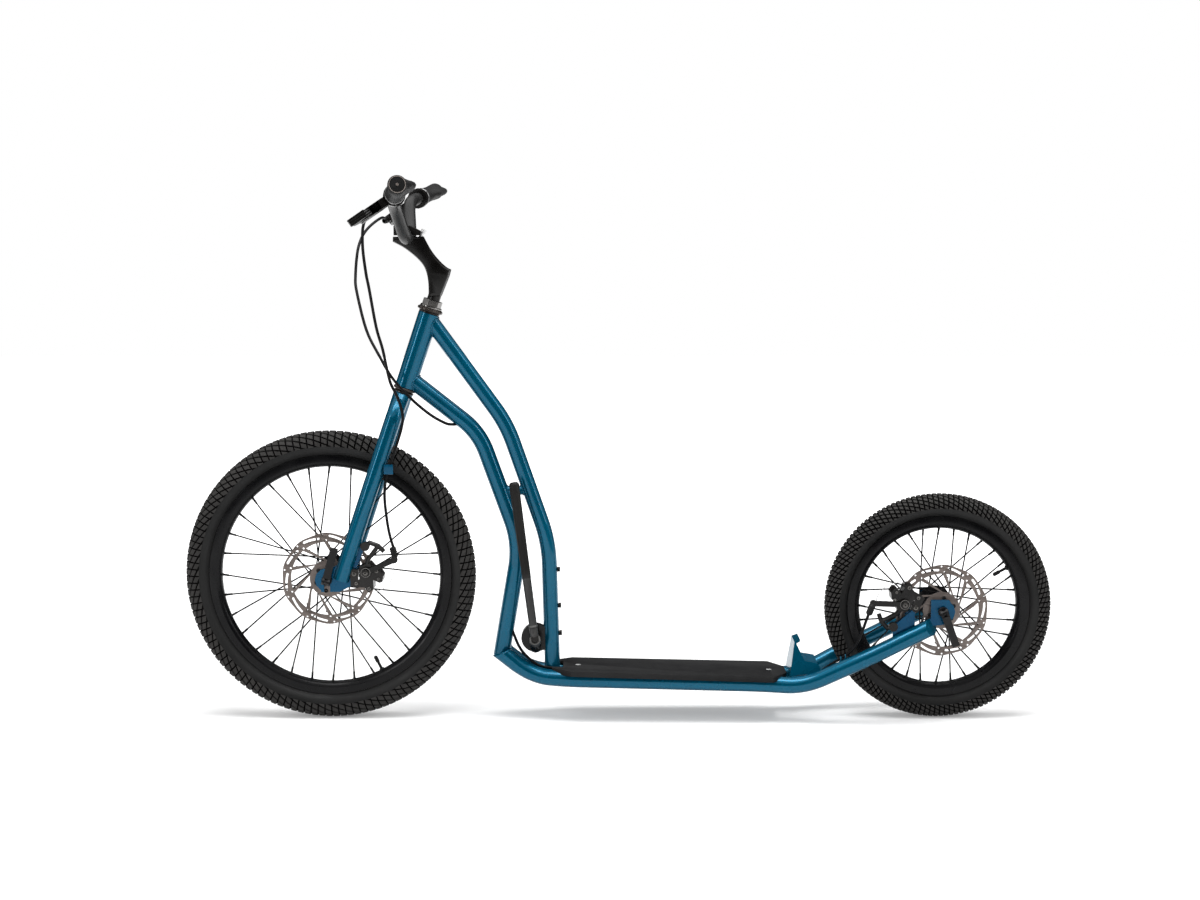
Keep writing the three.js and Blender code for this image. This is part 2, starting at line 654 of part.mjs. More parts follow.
function makeFork() {
  const bore = stem.quillRadius + gap;
  const crownFoot = crownTop - fork.crownHeight;
  const steererTop = headTube.length + cups.height + lockNut.height;
  const bar0 = crownTop - fork.crownDrop;
  let crown = union(
    headRod(crownFoot, crownTop, fork.crownRadius, tubeSides),
    headRod(crownTop - overrun * half, steererTop, steererRadius, tubeSides),
  );
  crown = minus(crown, headRod(headTube.length - stem.quillDepth - gap, steererTop + overrun, bore));
  for (const side of [left, right]) {
    crown = minus(crown, bladeRun(side, fork.bladeRadius + gap));
  }
  crown = minus(crown, rod(
    onHead(bar0 - fork.crownHeight, 0, -overrun), onHead(bar0 - fork.crownHeight, 0, overrun),
    fork.bladeRadius,
  ));
  add("fork_crown", crown, "paint");

  for (const [name, side] of [["left", left], ["right", right]]) {
    const slot = sidePlate([
      [frontAxle.x - overrun * 2, frontAxle.z - overrun * 2],
      [frontAxle.x + overrun * 2, frontAxle.z - overrun * 2],
      [frontAxle.x + overrun * 2, frontAxle.z + plate.slotHeight],
      [frontAxle.x - overrun * 2, frontAxle.z + plate.slotHeight],
    ], side * (frontDrop.inner - gap), side * (frontDrop.outer + gap));
    const inside = beyond(at(frontAxle.x, 0, frontAxle.z), at(0, -side, 0), overrun * 8);
    let blade = minus(
      bladeRun(side, fork.bladeRadius, fork.bladeRadius - fork.wall), slot, inside,
    );
    if (side === left) {
      const rise = (guide.z - onHead(0).z) / headUp.z;
      const centre = onHead(rise, guide.back, left * (fork.bladeSide + fork.bladeRadius * half));
      blade = minus(
        blade.add(block(guide.length, guide.thickness, guide.height, centre)),
        cableRun(frontCablePoints, holeFor(cable.radius)),
        rod(onHead(rise - overrun, 0, centre.y), onHead(rise + overrun, 0, centre.y), fork.bladeRadius - fork.wall),
      );
    }
    add(`${name}_fork_blade`, blade, "paint");

    const axle = frontAxle;
    const tail = onHead(fork.endRise - forkReach + plate.headRadius);
    const outline = [
      [axle.x - plate.headRadius * half, axle.z - plate.headRadius],
      [axle.x + plate.headRadius, axle.z - plate.headRadius],
      [axle.x + plate.headRadius * 2, axle.z - plate.headRadius * half],
      [tail.x + fork.bladeRadius, tail.z - plate.thickness],
      [tail.x + fork.bladeRadius * half, tail.z + plate.thickness],
      [tail.x - fork.bladeRadius, tail.z + plate.thickness],
      [axle.x - plate.headRadius * half, axle.z + plate.headRadius * half],
    ];
    let body = union(
      sidePlate(outline, side * frontDrop.inner, side * frontDrop.outer),
      dropoutHead(axle, side * frontDrop.inner, side * frontDrop.outer),
    );
    if (side === left) {
      body = body.add(tabs(frontWheel, caliper.tabRadius, -frontDrop.inner, -frontDrop.outer));
    }
    const dropout = minus(body, axleSlot(axle, -90 * degree));
    add(`${name}_fork_dropout`, dropout, "paint");
  }
}

function makeRearDropouts() {
  for (const [name, side] of [["left", left], ["right", right]]) {
    const axle = rearAxle;
    const size = plate.headRadius;
    const back = axle.x - size;
    const root = back - 2 * size;
    const outline = [
      [axle.x + size * half, axle.z - size], [axle.x + size, axle.z],
      [axle.x + size * half, axle.z + size], [back, axle.z + size],
      [back, stayHeight(back) + mainTube.radius], [root, stayHeight(root) + mainTube.radius],
      [root, stayHeight(root)], [back, stayHeight(back)],
    ];
    let body = union(
      sidePlate(outline, side * rearDrop.inner, side * rearDrop.outer),
      dropoutHead(axle, side * rearDrop.inner, side * rearDrop.outer),
    );
    if (side === left) {
      body = body.add(tabs(rearWheel, caliper.tabRadius, -rearDrop.inner, -rearDrop.outer));
    }
    add(`${name}_rear_dropout`, minus(body, axleSlot(axle, -60 * degree)), "paint");
  }
}

function tilted(manifoldGeometry, x) {
  manifoldGeometry.rotateY(Math.atan(deck.fall));
  manifoldGeometry.translate(x, 0, deckHeight(x));
  return solid(manifoldGeometry);
}

// A plate drawn in plan over the deck, from one height above the tubes' centres to another
function deckPlate(outline, from, to) {
  const shape = new THREE.Shape(outline.map(([x, y]) => pair(x, y)));
  const geometry = new THREE.ExtrudeGeometry(shape, { depth: to - from, bevelEnabled: false });
  geometry.translate(0, 0, from);
  return tilted(geometry, 0);
}

const boardUnder = mainTube.radius + gap;
const boardTop = boardUnder + board.skin;

function boardOutline(inset) {
  const side = (width) => width / 2 - inset;
  const ends = [
    [board.frontX + inset, side(board.frontTipWidth)],
    [board.frontFullX + inset * half, side(board.frontWidth)],
    [board.rearFullX - inset * half, side(board.rearWidth)],
    [board.rearX - inset, side(board.rearTipWidth)],
  ];
  const near = ends.map(([x, y]) => [x, -y]);
  return [...near, ...ends.reverse()];
}

function deckRod(x, from, to, radius, sides = tubeSides) {
  const normal = at(Math.sin(Math.atan(deck.fall)), 0, Math.cos(Math.atan(deck.fall)));
  const base = at(x, 0, deckHeight(x));
  return rod(
    base.clone().addScaledVector(normal, from), base.clone().addScaledVector(normal, to),
    radius, sides,
  );
}

function makeDeck() {
  const screws = [boardScrew.frontX, boardScrew.rearX];
  const notchEnd = board.frontX + board.notchDepth;
  const notch = deckPlate([
    [board.frontX - overrun, -board.notch], [notchEnd, -board.notch],
    [notchEnd, board.notch], [board.frontX - overrun, board.notch],
  ], -overrun, overrun);
  let footboard = minus(
    deckPlate(boardOutline(0), boardTop - board.height, boardTop),
    deckPlate(boardOutline(board.rim), -overrun, boardUnder), notch, fatDeck(left), fatDeck(right),
  );
  for (const x of screws) {
    footboard = minus(
      footboard,
      deckRod(x, boardTop - boardScrew.headHeight - gap, boardTop + overrun, boardScrew.headRadius + gap),
      deckRod(x, 0, overrun, boardScrew.shankRadius + gap),
    );
  }
  add("footboard", footboard, "plastic");

  const names = ["footboard_front_screw", "footboard_rear_screw"];
  screws.forEach((x, i) => {
    const screw = union(
      deckRod(x, boardTop - boardScrew.headHeight, boardTop - gap, boardScrew.headRadius),
      deckRod(x, boardTop - boardScrew.length, boardTop - gap, boardScrew.shankRadius),
    );
    add(names[i], screw, "steel");
  });

  const plates = [["front_cross_plate", screws[0]], ["rear_cross_plate", screws[1]]];
  for (const [name, x] of plates) {
    const from = x - crossPlate.length / 2;
    const to = x + crossPlate.length / 2;
    const top = boardUnder - gap;
    const reach = deckSide(from);
    const outline = [[from, -reach], [to, -reach], [to, reach], [from, reach]];
    const cross = minus(
      deckPlate(outline, top - crossPlate.thickness, top), fatDeck(left), fatDeck(right),
      deckRod(x, -overrun, overrun, boardScrew.shankRadius + gap),
    );
    const biggest = biggestOf(cross);
    add(name, biggest, "paint");
  }
}

function makeHeelBracket() {
  const height = heel.top - heel.foot;
  const sink = -mainTube.radius;
  const slope = heel.topShift / height;
  const taper = (heel.footWidth - heel.topWidth) / 2 / height;
  // Side outlines, made as slabs and then leaned inward with height
  const slab = (points, fromY, toY, side) => {
    const shape = new THREE.Shape(points.map(([x, z]) => pair(x, z)));
    const depth = toY - fromY;
    const geometry = new THREE.ExtrudeGeometry(shape, { depth, bevelEnabled: false });
    geometry.rotateX(Math.PI / 2);
    geometry.translate(0, toY, 0);
    const positions = geometry.attributes.position;
    for (let i = 0; i < positions.count; i += 1) {
      positions.setY(i, positions.getY(i) - side * taper * positions.getZ(i));
    }
    geometry.translate(heel.x, 0, heel.foot);
    return solid(geometry);
  };
  const face = [
    [sink * slope, sink], [sink * slope + heel.thickness, sink],
    [heel.topShift + heel.thickness, height - heel.thickness],
    [heel.topShift + heel.lipLength, height + heel.lipRise - heel.thickness],
    [heel.topShift + heel.lipLength, height + heel.lipRise], [heel.topShift, height],
  ];
  const gusset = [
    [sink * slope, sink], [heel.end[0], sink], heel.end, heel.tail, heel.shoulder,
    [heel.topShift + heel.thickness, height - heel.thickness],
    [heel.topShift, height - heel.thickness],
  ];
  const edge = heel.footWidth / 2;
  const left0 = slab(gusset, -edge, heel.thickness - edge, left);
  const right0 = slab(gusset, edge - heel.thickness, edge, right);
  const plateSolid = slab(face, -edge, edge, 0);
  const trimmed = plateSolid
    .intersect(slab(square(4 * overrun), -edge, 4 * overrun, left))
    .intersect(slab(square(4 * overrun), -4 * overrun, edge, right));
  const bracket = minus(union(trimmed, left0, right0), fatDeck(left), fatDeck(right), fatRearCable());
  const biggest = biggestOf(bracket);
  add("heel_bracket", biggest, "paint");
}

function square(size) {
  return [[-size, -size], [size, -size], [size, size], [-size, size]];
}

function makeWheel(wheel) {
  const { x, z, radius, segments, rimInner, rimOuter, name } = wheel;
  const step = Math.PI / segments;
  const wide = wheel.tyreWidth / 2;
  const flat = wheel.treadFlat / 2;
  const apothem = radius / Math.cos(step);
  const shoulder = apothem - wheel.tyreHeight * tyreShares.shoulderDrop;
  const widest = radius - wheel.tyreHeight * half;
  const crown = radius - tyreShares.wall * wheel.tyreHeight;
  const rimHalf = wheel.rimWidth / 2;
  const halfProfile = [
    [apothem, flat], [shoulder, wide * tyreShares.shoulderSide], [widest, wide],
    [rimOuter + gap, rimHalf + gap], [rimOuter + gap, rimHalf - rimWall - 2 * gap],
    [crown, wide * half],
  ];
  const profile = [...halfProfile, ...halfProfile.slice().reverse().map(([r, y]) => [r, -y])];
  add(`${name}_tyre`, turned(profile, x, z, segments, step), "rubber");

  const well = rimInner + (rimOuter - rimInner) * rimShares.wellHeight;
  const halfRim = [
    [rimInner, rimHalf * rimShares.innerSide], [rimOuter, rimHalf], [rimOuter, rimHalf - rimWall],
    [well, rimHalf * rimShares.wellSide],
  ];
  const rim = [...halfRim, ...halfRim.slice().reverse().map(([r, y]) => [r, -y])];
  const angle = (name === "front" ? valve.frontAngle : valve.rearAngle) * degree;
  const outward = at(Math.cos(angle), 0, Math.sin(angle));
  const centre = at(x, 0, z);
  const valveFrom = centre.clone().addScaledVector(outward, rimInner - valve.length);
  const valveTo = centre.clone().addScaledVector(outward, well + valve.radius);
  const rimSolid = minus(
    turned(rim, x, z, segments, step), rod(valveFrom, valveTo, valve.radius + gap, 8),
  );
  add(`${name}_rim`, rimSolid, "black");
  add(`${name}_valve`, rod(valveFrom, valveTo, valve.radius, 8), "cable");

  const end = wheel.dropoutSpacing / 2 - 4 * gap;
  const rotorY = -(wheel.dropoutSpacing / 2 - hub.rotorOffset);
  const mountY = rotorY + rotor.thickness / 2 + gap;
  const shellProfile = [
    [hub.boreRadius, -end], [hub.endRadius, -end], [hub.endRadius, mountY],
    [hub.boltRingRadius, mountY], [hub.boltRingRadius, mountY + hub.flangeThickness],
    [hub.barrelRadius, mountY + 2 * hub.flangeThickness],
    [hub.barrelRadius, -wheel.leftFlange - hub.flangeThickness],
    [hub.flangeRadius, -wheel.leftFlange - hub.flangeThickness],
    [hub.flangeRadius, -wheel.leftFlange], [hub.barrelRadius, -wheel.leftFlange],
    [hub.barrelRadius, wheel.rightFlange], [hub.flangeRadius, wheel.rightFlange],
    [hub.flangeRadius, wheel.rightFlange + hub.flangeThickness],
    [hub.barrelRadius, wheel.rightFlange + hub.flangeThickness], [hub.endRadius, end],
    [hub.boreRadius, end],
  ];
  let hubSolid = turned(shellProfile, x, z, hub.sides);
  const perSide = spokes.count / 2;
  const pitch = 2 * Math.PI / perSide;
  const inset = hub.flangeRadius - spokes.holeInset;
  for (const side of [left, right]) {
    const flange = side === left ? -wheel.leftFlange : wheel.rightFlange;
    for (let i = 0; i < perSide; i += 1) {
      const lane = (i % 2 === 0 ? 1 : -1) * (hub.flangeThickness / 2 + spokes.proud);
      const flangeY = flange + side * hub.flangeThickness / 2 + lane;
      const rimAngle = pitch * (i + (side === left ? 0 : half));
      const hubAngle = rimAngle + (i % 2 === 0 ? 1 : -1) * spokes.crossings * pitch;
      const from = at(x + inset * Math.cos(hubAngle), flangeY, z + inset * Math.sin(hubAngle));
      const reach = rimInner * Math.cos(step) - gap;
      const to = at(x + reach * Math.cos(rimAngle), 0, z + reach * Math.sin(rimAngle));
      to.y = side * spokes.rimSide + lane * half;
      hubSolid = hubSolid.add(rod(from, to, spokes.radius, 4));
    }
  }
  add(`${name}_spoked_hub`, hubSolid, "black");
  makeRotor(wheel, rotorY);
}

function makeRotor(wheel, y) {
  const phase = (wheel === frontWheel ? rotor.frontTurn : rotor.rearTurn) * degree;
  const spot = (angle, radius) => pair(radius * Math.cos(angle), radius * Math.sin(angle));
  const rim = [];
  for (let i = 0; i < rotor.steps; i += 1) {
    const angle = 2 * Math.PI * i / rotor.steps;
    const wave = rotor.wave * half * (1 - Math.cos(rotor.arms * angle));
    rim.push(spot(phase + angle, rotor.radius - wave));
  }
  const shape = new THREE.Shape(rim);
  const circle = new THREE.Path();
  circle.absarc(0, 0, rotor.holeRadius, 0, 2 * Math.PI, true);
  shape.holes.push(circle);
  const pitch = 2 * Math.PI / rotor.arms;
  const outerRadius = rotor.radius - rotor.trackWidth;
  const outerTrim = rotor.armWidth / outerRadius * half;
  const innerTrim = rotor.armWidth / rotor.ringRadius * half;
  for (let i = 0; i < rotor.arms; i += 1) {
    const node = phase + pitch * i;
    const root = node - rotor.sweep * degree;
    const window = [0, 1, 2, 3].map((k) => {
      return spot(node + outerTrim + (pitch - 2 * outerTrim) * k / 3, outerRadius);
    });
    window.push(spot(root + pitch - innerTrim, rotor.ringRadius));
    window.push(spot(root + innerTrim, rotor.ringRadius));
    shape.holes.push(new THREE.Path(window));
    const ends = [
      spot(node - rotor.slotFrom * degree, rotor.slotInner),
      spot(node - rotor.slotTo * degree, rotor.slotOuter),
    ];
    const across = ends[1].clone().sub(ends[0]).normalize().multiplyScalar(rotor.slotWidth * half);
    const beside = pair(-across.y, across.x);
    shape.holes.push(new THREE.Path([
      ends[0].clone().add(beside), ends[1].clone().add(beside),
      ends[1].clone().sub(beside), ends[0].clone().sub(beside),
    ]));
  }
  const options = { depth: rotor.thickness, bevelEnabled: false, curveSegments: tubeSides };
  const geometry = new THREE.ExtrudeGeometry(shape, options);
  geometry.rotateX(Math.PI / 2);
  geometry.translate(wheel.x, y + rotor.thickness / 2, wheel.z);
  add(`${wheel.name}_rotor`, solid(geometry), "steel");
}

// Axle with its nuts, its quick-release eye on the left and the eye's cross pin
function makeAxle(wheel, leverAngle) {
  const drop = wheel === frontWheel ? frontDrop : rearDrop;
  const { x, z, name } = wheel;
  const nutY = drop.outer + gap;
  const line = (from, to, radius, sides = tubeSides) => rod(at(x, from, z), at(x, to, z), radius, sides);
  const eyeY = -(nutY + quickRelease.standOff + quickRelease.cheekRadius + gap);
  const along = at(Math.cos(leverAngle), 0, Math.sin(leverAngle));
  const across = at(-along.z, 0, along.x);
  const eye = at(x, eyeY, z);
  const reach = (size) => eye.clone().addScaledVector(across, size);
  const pinHalf = quickRelease.eyeWidth / 2 + quickRelease.cheek + gap;
  const axle = union(
    line(-nutY - quickRelease.standOff, nutY + quickRelease.nutLength, hub.axleRadius),
    line(-nutY - quickRelease.standOff, -nutY, quickRelease.nutRadius),
    line(nutY, nutY + quickRelease.nutLength, quickRelease.nutRadius, boreSides),
    line(-drop.inner + gap, -drop.inner + 3 * gap, quickRelease.nutRadius),
    line(drop.inner - 3 * gap, drop.inner - gap, quickRelease.nutRadius),
    line(eyeY, -nutY - quickRelease.standOff * half, quickRelease.eyeWidth / 2),
    rod(reach(-quickRelease.eyeWidth / 2), reach(quickRelease.eyeWidth / 2), quickRelease.eyeRadius),
    rod(reach(-pinHalf), reach(pinHalf), quickRelease.pinRadius),
  );
  add(`${name}_axle`, axle, "black");

  const inner = quickRelease.eyeWidth / 2 + gap;
  const outer = inner + quickRelease.cheek;
  let handle = null;
  for (const side of [left, right]) {
    const cheek = rod(reach(side * inner), reach(side * outer), quickRelease.cheekRadius);
    handle = handle ? handle.add(cheek) : cheek;
  }
  const turn = new THREE.Quaternion().setFromAxisAngle(at(0, 1, 0), -leverAngle);
  const start = quickRelease.eyeRadius + 2 * gap;
  const blade = (from, to, thickness, width, y) => block(
    to - from, thickness, width,
    at(x, y, z).addScaledVector(along, (from + to) / 2), turn,
  );
  const outside = eyeY - quickRelease.thickness * half;
  const sides = blade(0, quickRelease.eyeRadius * 2, quickRelease.cheekRadius, 2 * outer, eyeY);
  const slot = blade(-overrun, start, overrun, 2 * inner, eyeY);
  const hole = rod(
    reach(-overrun * half), reach(overrun * half), quickRelease.pinRadius + gap,
  );
  handle = minus(handle.add(sides), slot, hole);
  handle = handle.add(blade(
    start, quickRelease.length, quickRelease.thickness, quickRelease.width, outside,
  ));
  add(`${name}_quick_release_lever`, handle, "black");
}

function makeStem() {
  const clamp = barCentre;
  const neckFoot = headTube.length + gap + cups.height + gap + lockNut.height + gap;
  const outline = stem.outlineShares.map(([along, rise]) => {
    return [clamp.x + along * stem.reach, clamp.z + rise * stem.drop];
  });
  const shape = new THREE.Shape(outline.map(([x, z]) => pair(x, z)));
  const options = {
    depth: stem.width - 2 * stem.bevel, bevelEnabled: true, bevelSegments: 1,
    bevelThickness: stem.bevel, bevelSize: stem.bevel, bevelOffset: -stem.bevel,
  };
  const geometry = new THREE.ExtrudeGeometry(shape, options);
  geometry.rotateX(Math.PI / 2);
  geometry.translate(0, stem.width / 2 - stem.bevel, 0);
  const hollow = rod(
    at(clamp.x, -overrun, clamp.z), at(clamp.x, overrun, clamp.z), holeFor(bar.radius),
  );
  const split = at(clamp.x, 0, clamp.z + stem.slot);
  const boltAt = at(clamp.x + stem.boltOffset, 0, clamp.z);
  const boltUp = at(Math.sin(stem.boltLean * degree), 0, Math.cos(stem.boltLean * degree));
  const boltFoot = boltAt.clone().addScaledVector(boltUp, -stem.boltLength * half);
  const boltTop = boltAt.clone().addScaledVector(boltUp, stem.boltLength * half);
  const boltHole = rod(boltFoot, boltAt.clone().addScaledVector(boltUp, overrun), bolts.radius + gap);
  const body = minus(
    union(solid(geometry), headRod(
      neckFoot - stem.quillDepth, neckFoot + stem.neckHeight, stem.quillRadius, tubeSides,
    )),
    hollow, beyond(split, at(0, 0, 1), overrun * 4), boltHole,
  );
  add("quill_stem", body, "black");

  const lid = union(
    rod(
      at(clamp.x, -stem.width / 2, clamp.z), at(clamp.x, stem.width / 2, clamp.z),
      stem.clampRadius, tubeSides,
    ),
    block(
      stem.clampRadius * 2.2, stem.width, stem.clampRadius * 0.9,
      at(clamp.x + gap, 0, clamp.z + stem.slot + stem.clampRadius * 0.45),
    ),
  );
  const lidFloor = split.clone().addScaledVector(at(0, 0, 1), stem.slot);
  const cap = minus(
    lid, hollow, beyond(lidFloor, at(0, 0, -1), overrun * 4), boltHole,
    beyond(boltTop, boltUp, overrun * 4),
  );
  add("stem_clamp_cap", cap, "black");
  const head = boltTop.clone().addScaledVector(boltUp, gap);
  const bolt = union(
    rod(boltFoot.clone().addScaledVector(boltUp, gap), head, bolts.radius),
    rod(head, head.clone().addScaledVector(boltUp, bolts.headLength), stem.boltRadius),
  );
  add("stem_clamp_bolt", bolt, "steel");
}

const barPoint = (back, side, rise) => at(barCentre.x + back, side, barCentre.z + rise);
const barEnd = (side) => barPoint(bar.sweep, side * bar.width / 2, bar.endRise);
const barElbow = (side) => barPoint(-bar.elbowReach, side * bar.elbowSide, bar.rise);

// A point on the straight end of the bar, a length in from its tip
function onBar(side, inset) {
  const end = barEnd(side);
  return end.lerp(barElbow(side), inset / barEnd(side).distanceTo(barElbow(side)));
}

function barRun(radius, bore = 0) {
  const corners = [
    onBar(left, grip.cap + gap), barElbow(left), barPoint(0, -bar.straight, 0),
    barPoint(0, bar.straight, 0), barElbow(right), onBar(right, grip.cap + gap),
  ];
  return pipe(
    bentPoints(corners, [bar.bend, bar.bend, bar.bend, bar.bend]), radius, tubeSides, bore,
  );
}

function makeBarAndGrips() {
  add("handlebar", barRun(bar.radius, bar.radius - bar.wall), "satin");
  for (const [name, side] of [["left_grip", left], ["right_grip", right]]) {
    const span = (from, to, radius) => rod(onBar(side, from), onBar(side, to), radius, grip.sides);
    const inward = barElbow(side).sub(barEnd(side)).normalize();
    const turn = grip.wingTurn * degree;
    const rearward = at(Math.cos(turn), 0, Math.sin(turn));
    const out = rearward.addScaledVector(inward, -rearward.dot(inward)).normalize();
    const wingFrame = { origin: barEnd(side), inward, out, normal: inward.clone().cross(out) };
    const wing = leverPlate(wingFrame, grip.wingShares.map(
      ([along, reach]) => [along * grip.length, reach * grip.wingReach],
    ), grip.wingThickness);
    const sleeve = minus(
      union(
        wing, span(0, grip.length, grip.radius), span(0, grip.flangeLength, grip.radius + 1),
        span(grip.length - grip.flangeLength, grip.length, grip.flange),
      ),
      span(grip.cap, grip.length + overrun, holeFor(bar.radius)),
    );
    add(name, sleeve, "rubber");
  }
}

// Brake lever axes: along the bar towards the middle, out towards the fingers, and the pivot
function leverFrame(side) {
  const inset = lever.clampInset * barEnd(side).distanceTo(barElbow(side))
    / (bar.width / 2 - bar.elbowSide);
  const origin = onBar(side, inset);
  const inward = barElbow(side).sub(barEnd(side)).normalize();
  const tilt = lever.tilt * degree;
  const down = at(-Math.cos(tilt), 0, -Math.sin(tilt));
  const out = down.addScaledVector(inward, -down.dot(inward)).normalize();
  const normal = inward.clone().cross(out).normalize();
  return { origin, inward, out, normal };
}

function leverPlate(frame, outline, thickness) {
  const shape = new THREE.Shape(outline.map(([along, reach]) => pair(along, reach)));
  const geometry = new THREE.ExtrudeGeometry(shape, { depth: thickness, bevelEnabled: false });
  geometry.translate(0, 0, -thickness / 2);
  const place = new THREE.Matrix4().makeBasis(frame.inward, frame.out, frame.normal);
  geometry.applyMatrix4(place);
  geometry.translate(frame.origin.x, frame.origin.y, frame.origin.z);
  return solid(geometry);
}

function leverPoint(frame, along, reach, up = 0) {
  const point = frame.origin.clone().addScaledVector(frame.inward, along);
  return point.addScaledVector(frame.out, reach).addScaledVector(frame.normal, up);
}

function makeLever(name, side) {
  const frame = leverFrame(side);
  const wide = lever.bodyWidth / 2;
  const bar0 = rod(
    leverPoint(frame, -overrun, 0), leverPoint(frame, overrun, 0), holeFor(bar.radius),
  );
  const ring = rod(
    leverPoint(frame, -lever.clampWidth / 2, 0), leverPoint(frame, lever.clampWidth / 2, 0),
    lever.clampRadius, grip.sides,
  );
  const perch = leverPlate(frame, [
    [-lever.clampWidth / 2, 0], [lever.clampWidth / 2, 0], [wide, lever.clampRadius * 1.6],
    [wide, lever.bodyReach], [-wide * 0.2, lever.bodyReach * 1.04],
    [-wide, lever.pivotReach], [-wide * 0.9, lever.clampRadius * 1.5],
  ], lever.thickness);
  const barrel = rod(
    leverPoint(frame, wide - gap, lever.barrelReach),
    leverPoint(frame, wide + lever.barrelLength, lever.barrelReach), lever.barrelRadius,
  );
  const reach = lever.pivotReach;
  const pocket = leverPlate(frame, [
    [-wide - overrun, lever.clampRadius * 1.35], [wide * 0.3, lever.clampRadius * 1.7],
    [wide * 0.55, reach], [wide * 0.3, lever.bodyReach + overrun],
    [-wide - overrun, lever.bodyReach + overrun],
  ], lever.slot);
  const pin = rod(
    leverPoint(frame, 0, reach, -lever.thickness / 2 + gap),
    leverPoint(frame, 0, reach, lever.thickness / 2 - gap), bolts.radius,
  );
  const bracket = union(minus(union(ring, perch, barrel), bar0, pocket), pin);
  add(`${name}_lever_bracket`, bracket, "black");

  const end = -lever.blade;
  const thick = lever.bladeThickness;
  const outer = lever.bladeReach;
  const bladeBody = leverPlate(frame, [
    [bolts.headRadius * 1.2, reach], [0, reach - bolts.headRadius * 1.4],
    [-wide * 0.8, reach - bolts.headRadius], [-wide * 1.6, outer - thick * 2.2],
    [end * 0.55, outer - thick * 1.3], [end * 0.85, outer - thick],
    [end, outer - thick * 0.2], [end, outer + thick * 0.6], [end * 0.93, outer + thick * 0.7],
    [end * 0.8, outer], [end * 0.5, outer - thick * 0.1], [-wide * 1.4, outer - thick],
    [-wide * 0.4, reach + bolts.headRadius * 1.8], [bolts.headRadius, reach + bolts.headRadius],
  ], lever.bladeWidth);
  const hole = rod(
    leverPoint(frame, 0, reach, -overrun), leverPoint(frame, 0, reach, overrun),
    bolts.radius + gap,
  );
  add(`${name}_brake_lever`, minus(bladeBody, hole), "black");
}

// The side-view placing of a caliper's points: its pivot and its turn
function caliperSpot(wheel, [along, rise]) {
  const front = wheel === frontWheel;
  const turn = front ? 0 : caliper.rearTurn * degree;
  const pivotX = wheel.x + (front ? caliper.pivotReach : -caliper.pivotReach);
  const pivotZ = wheel.z + caliper.pivotRise;
  return [
    pivotX + along * Math.cos(turn) - rise * Math.sin(turn),
    pivotZ + along * Math.sin(turn) + rise * Math.cos(turn),
  ];
}

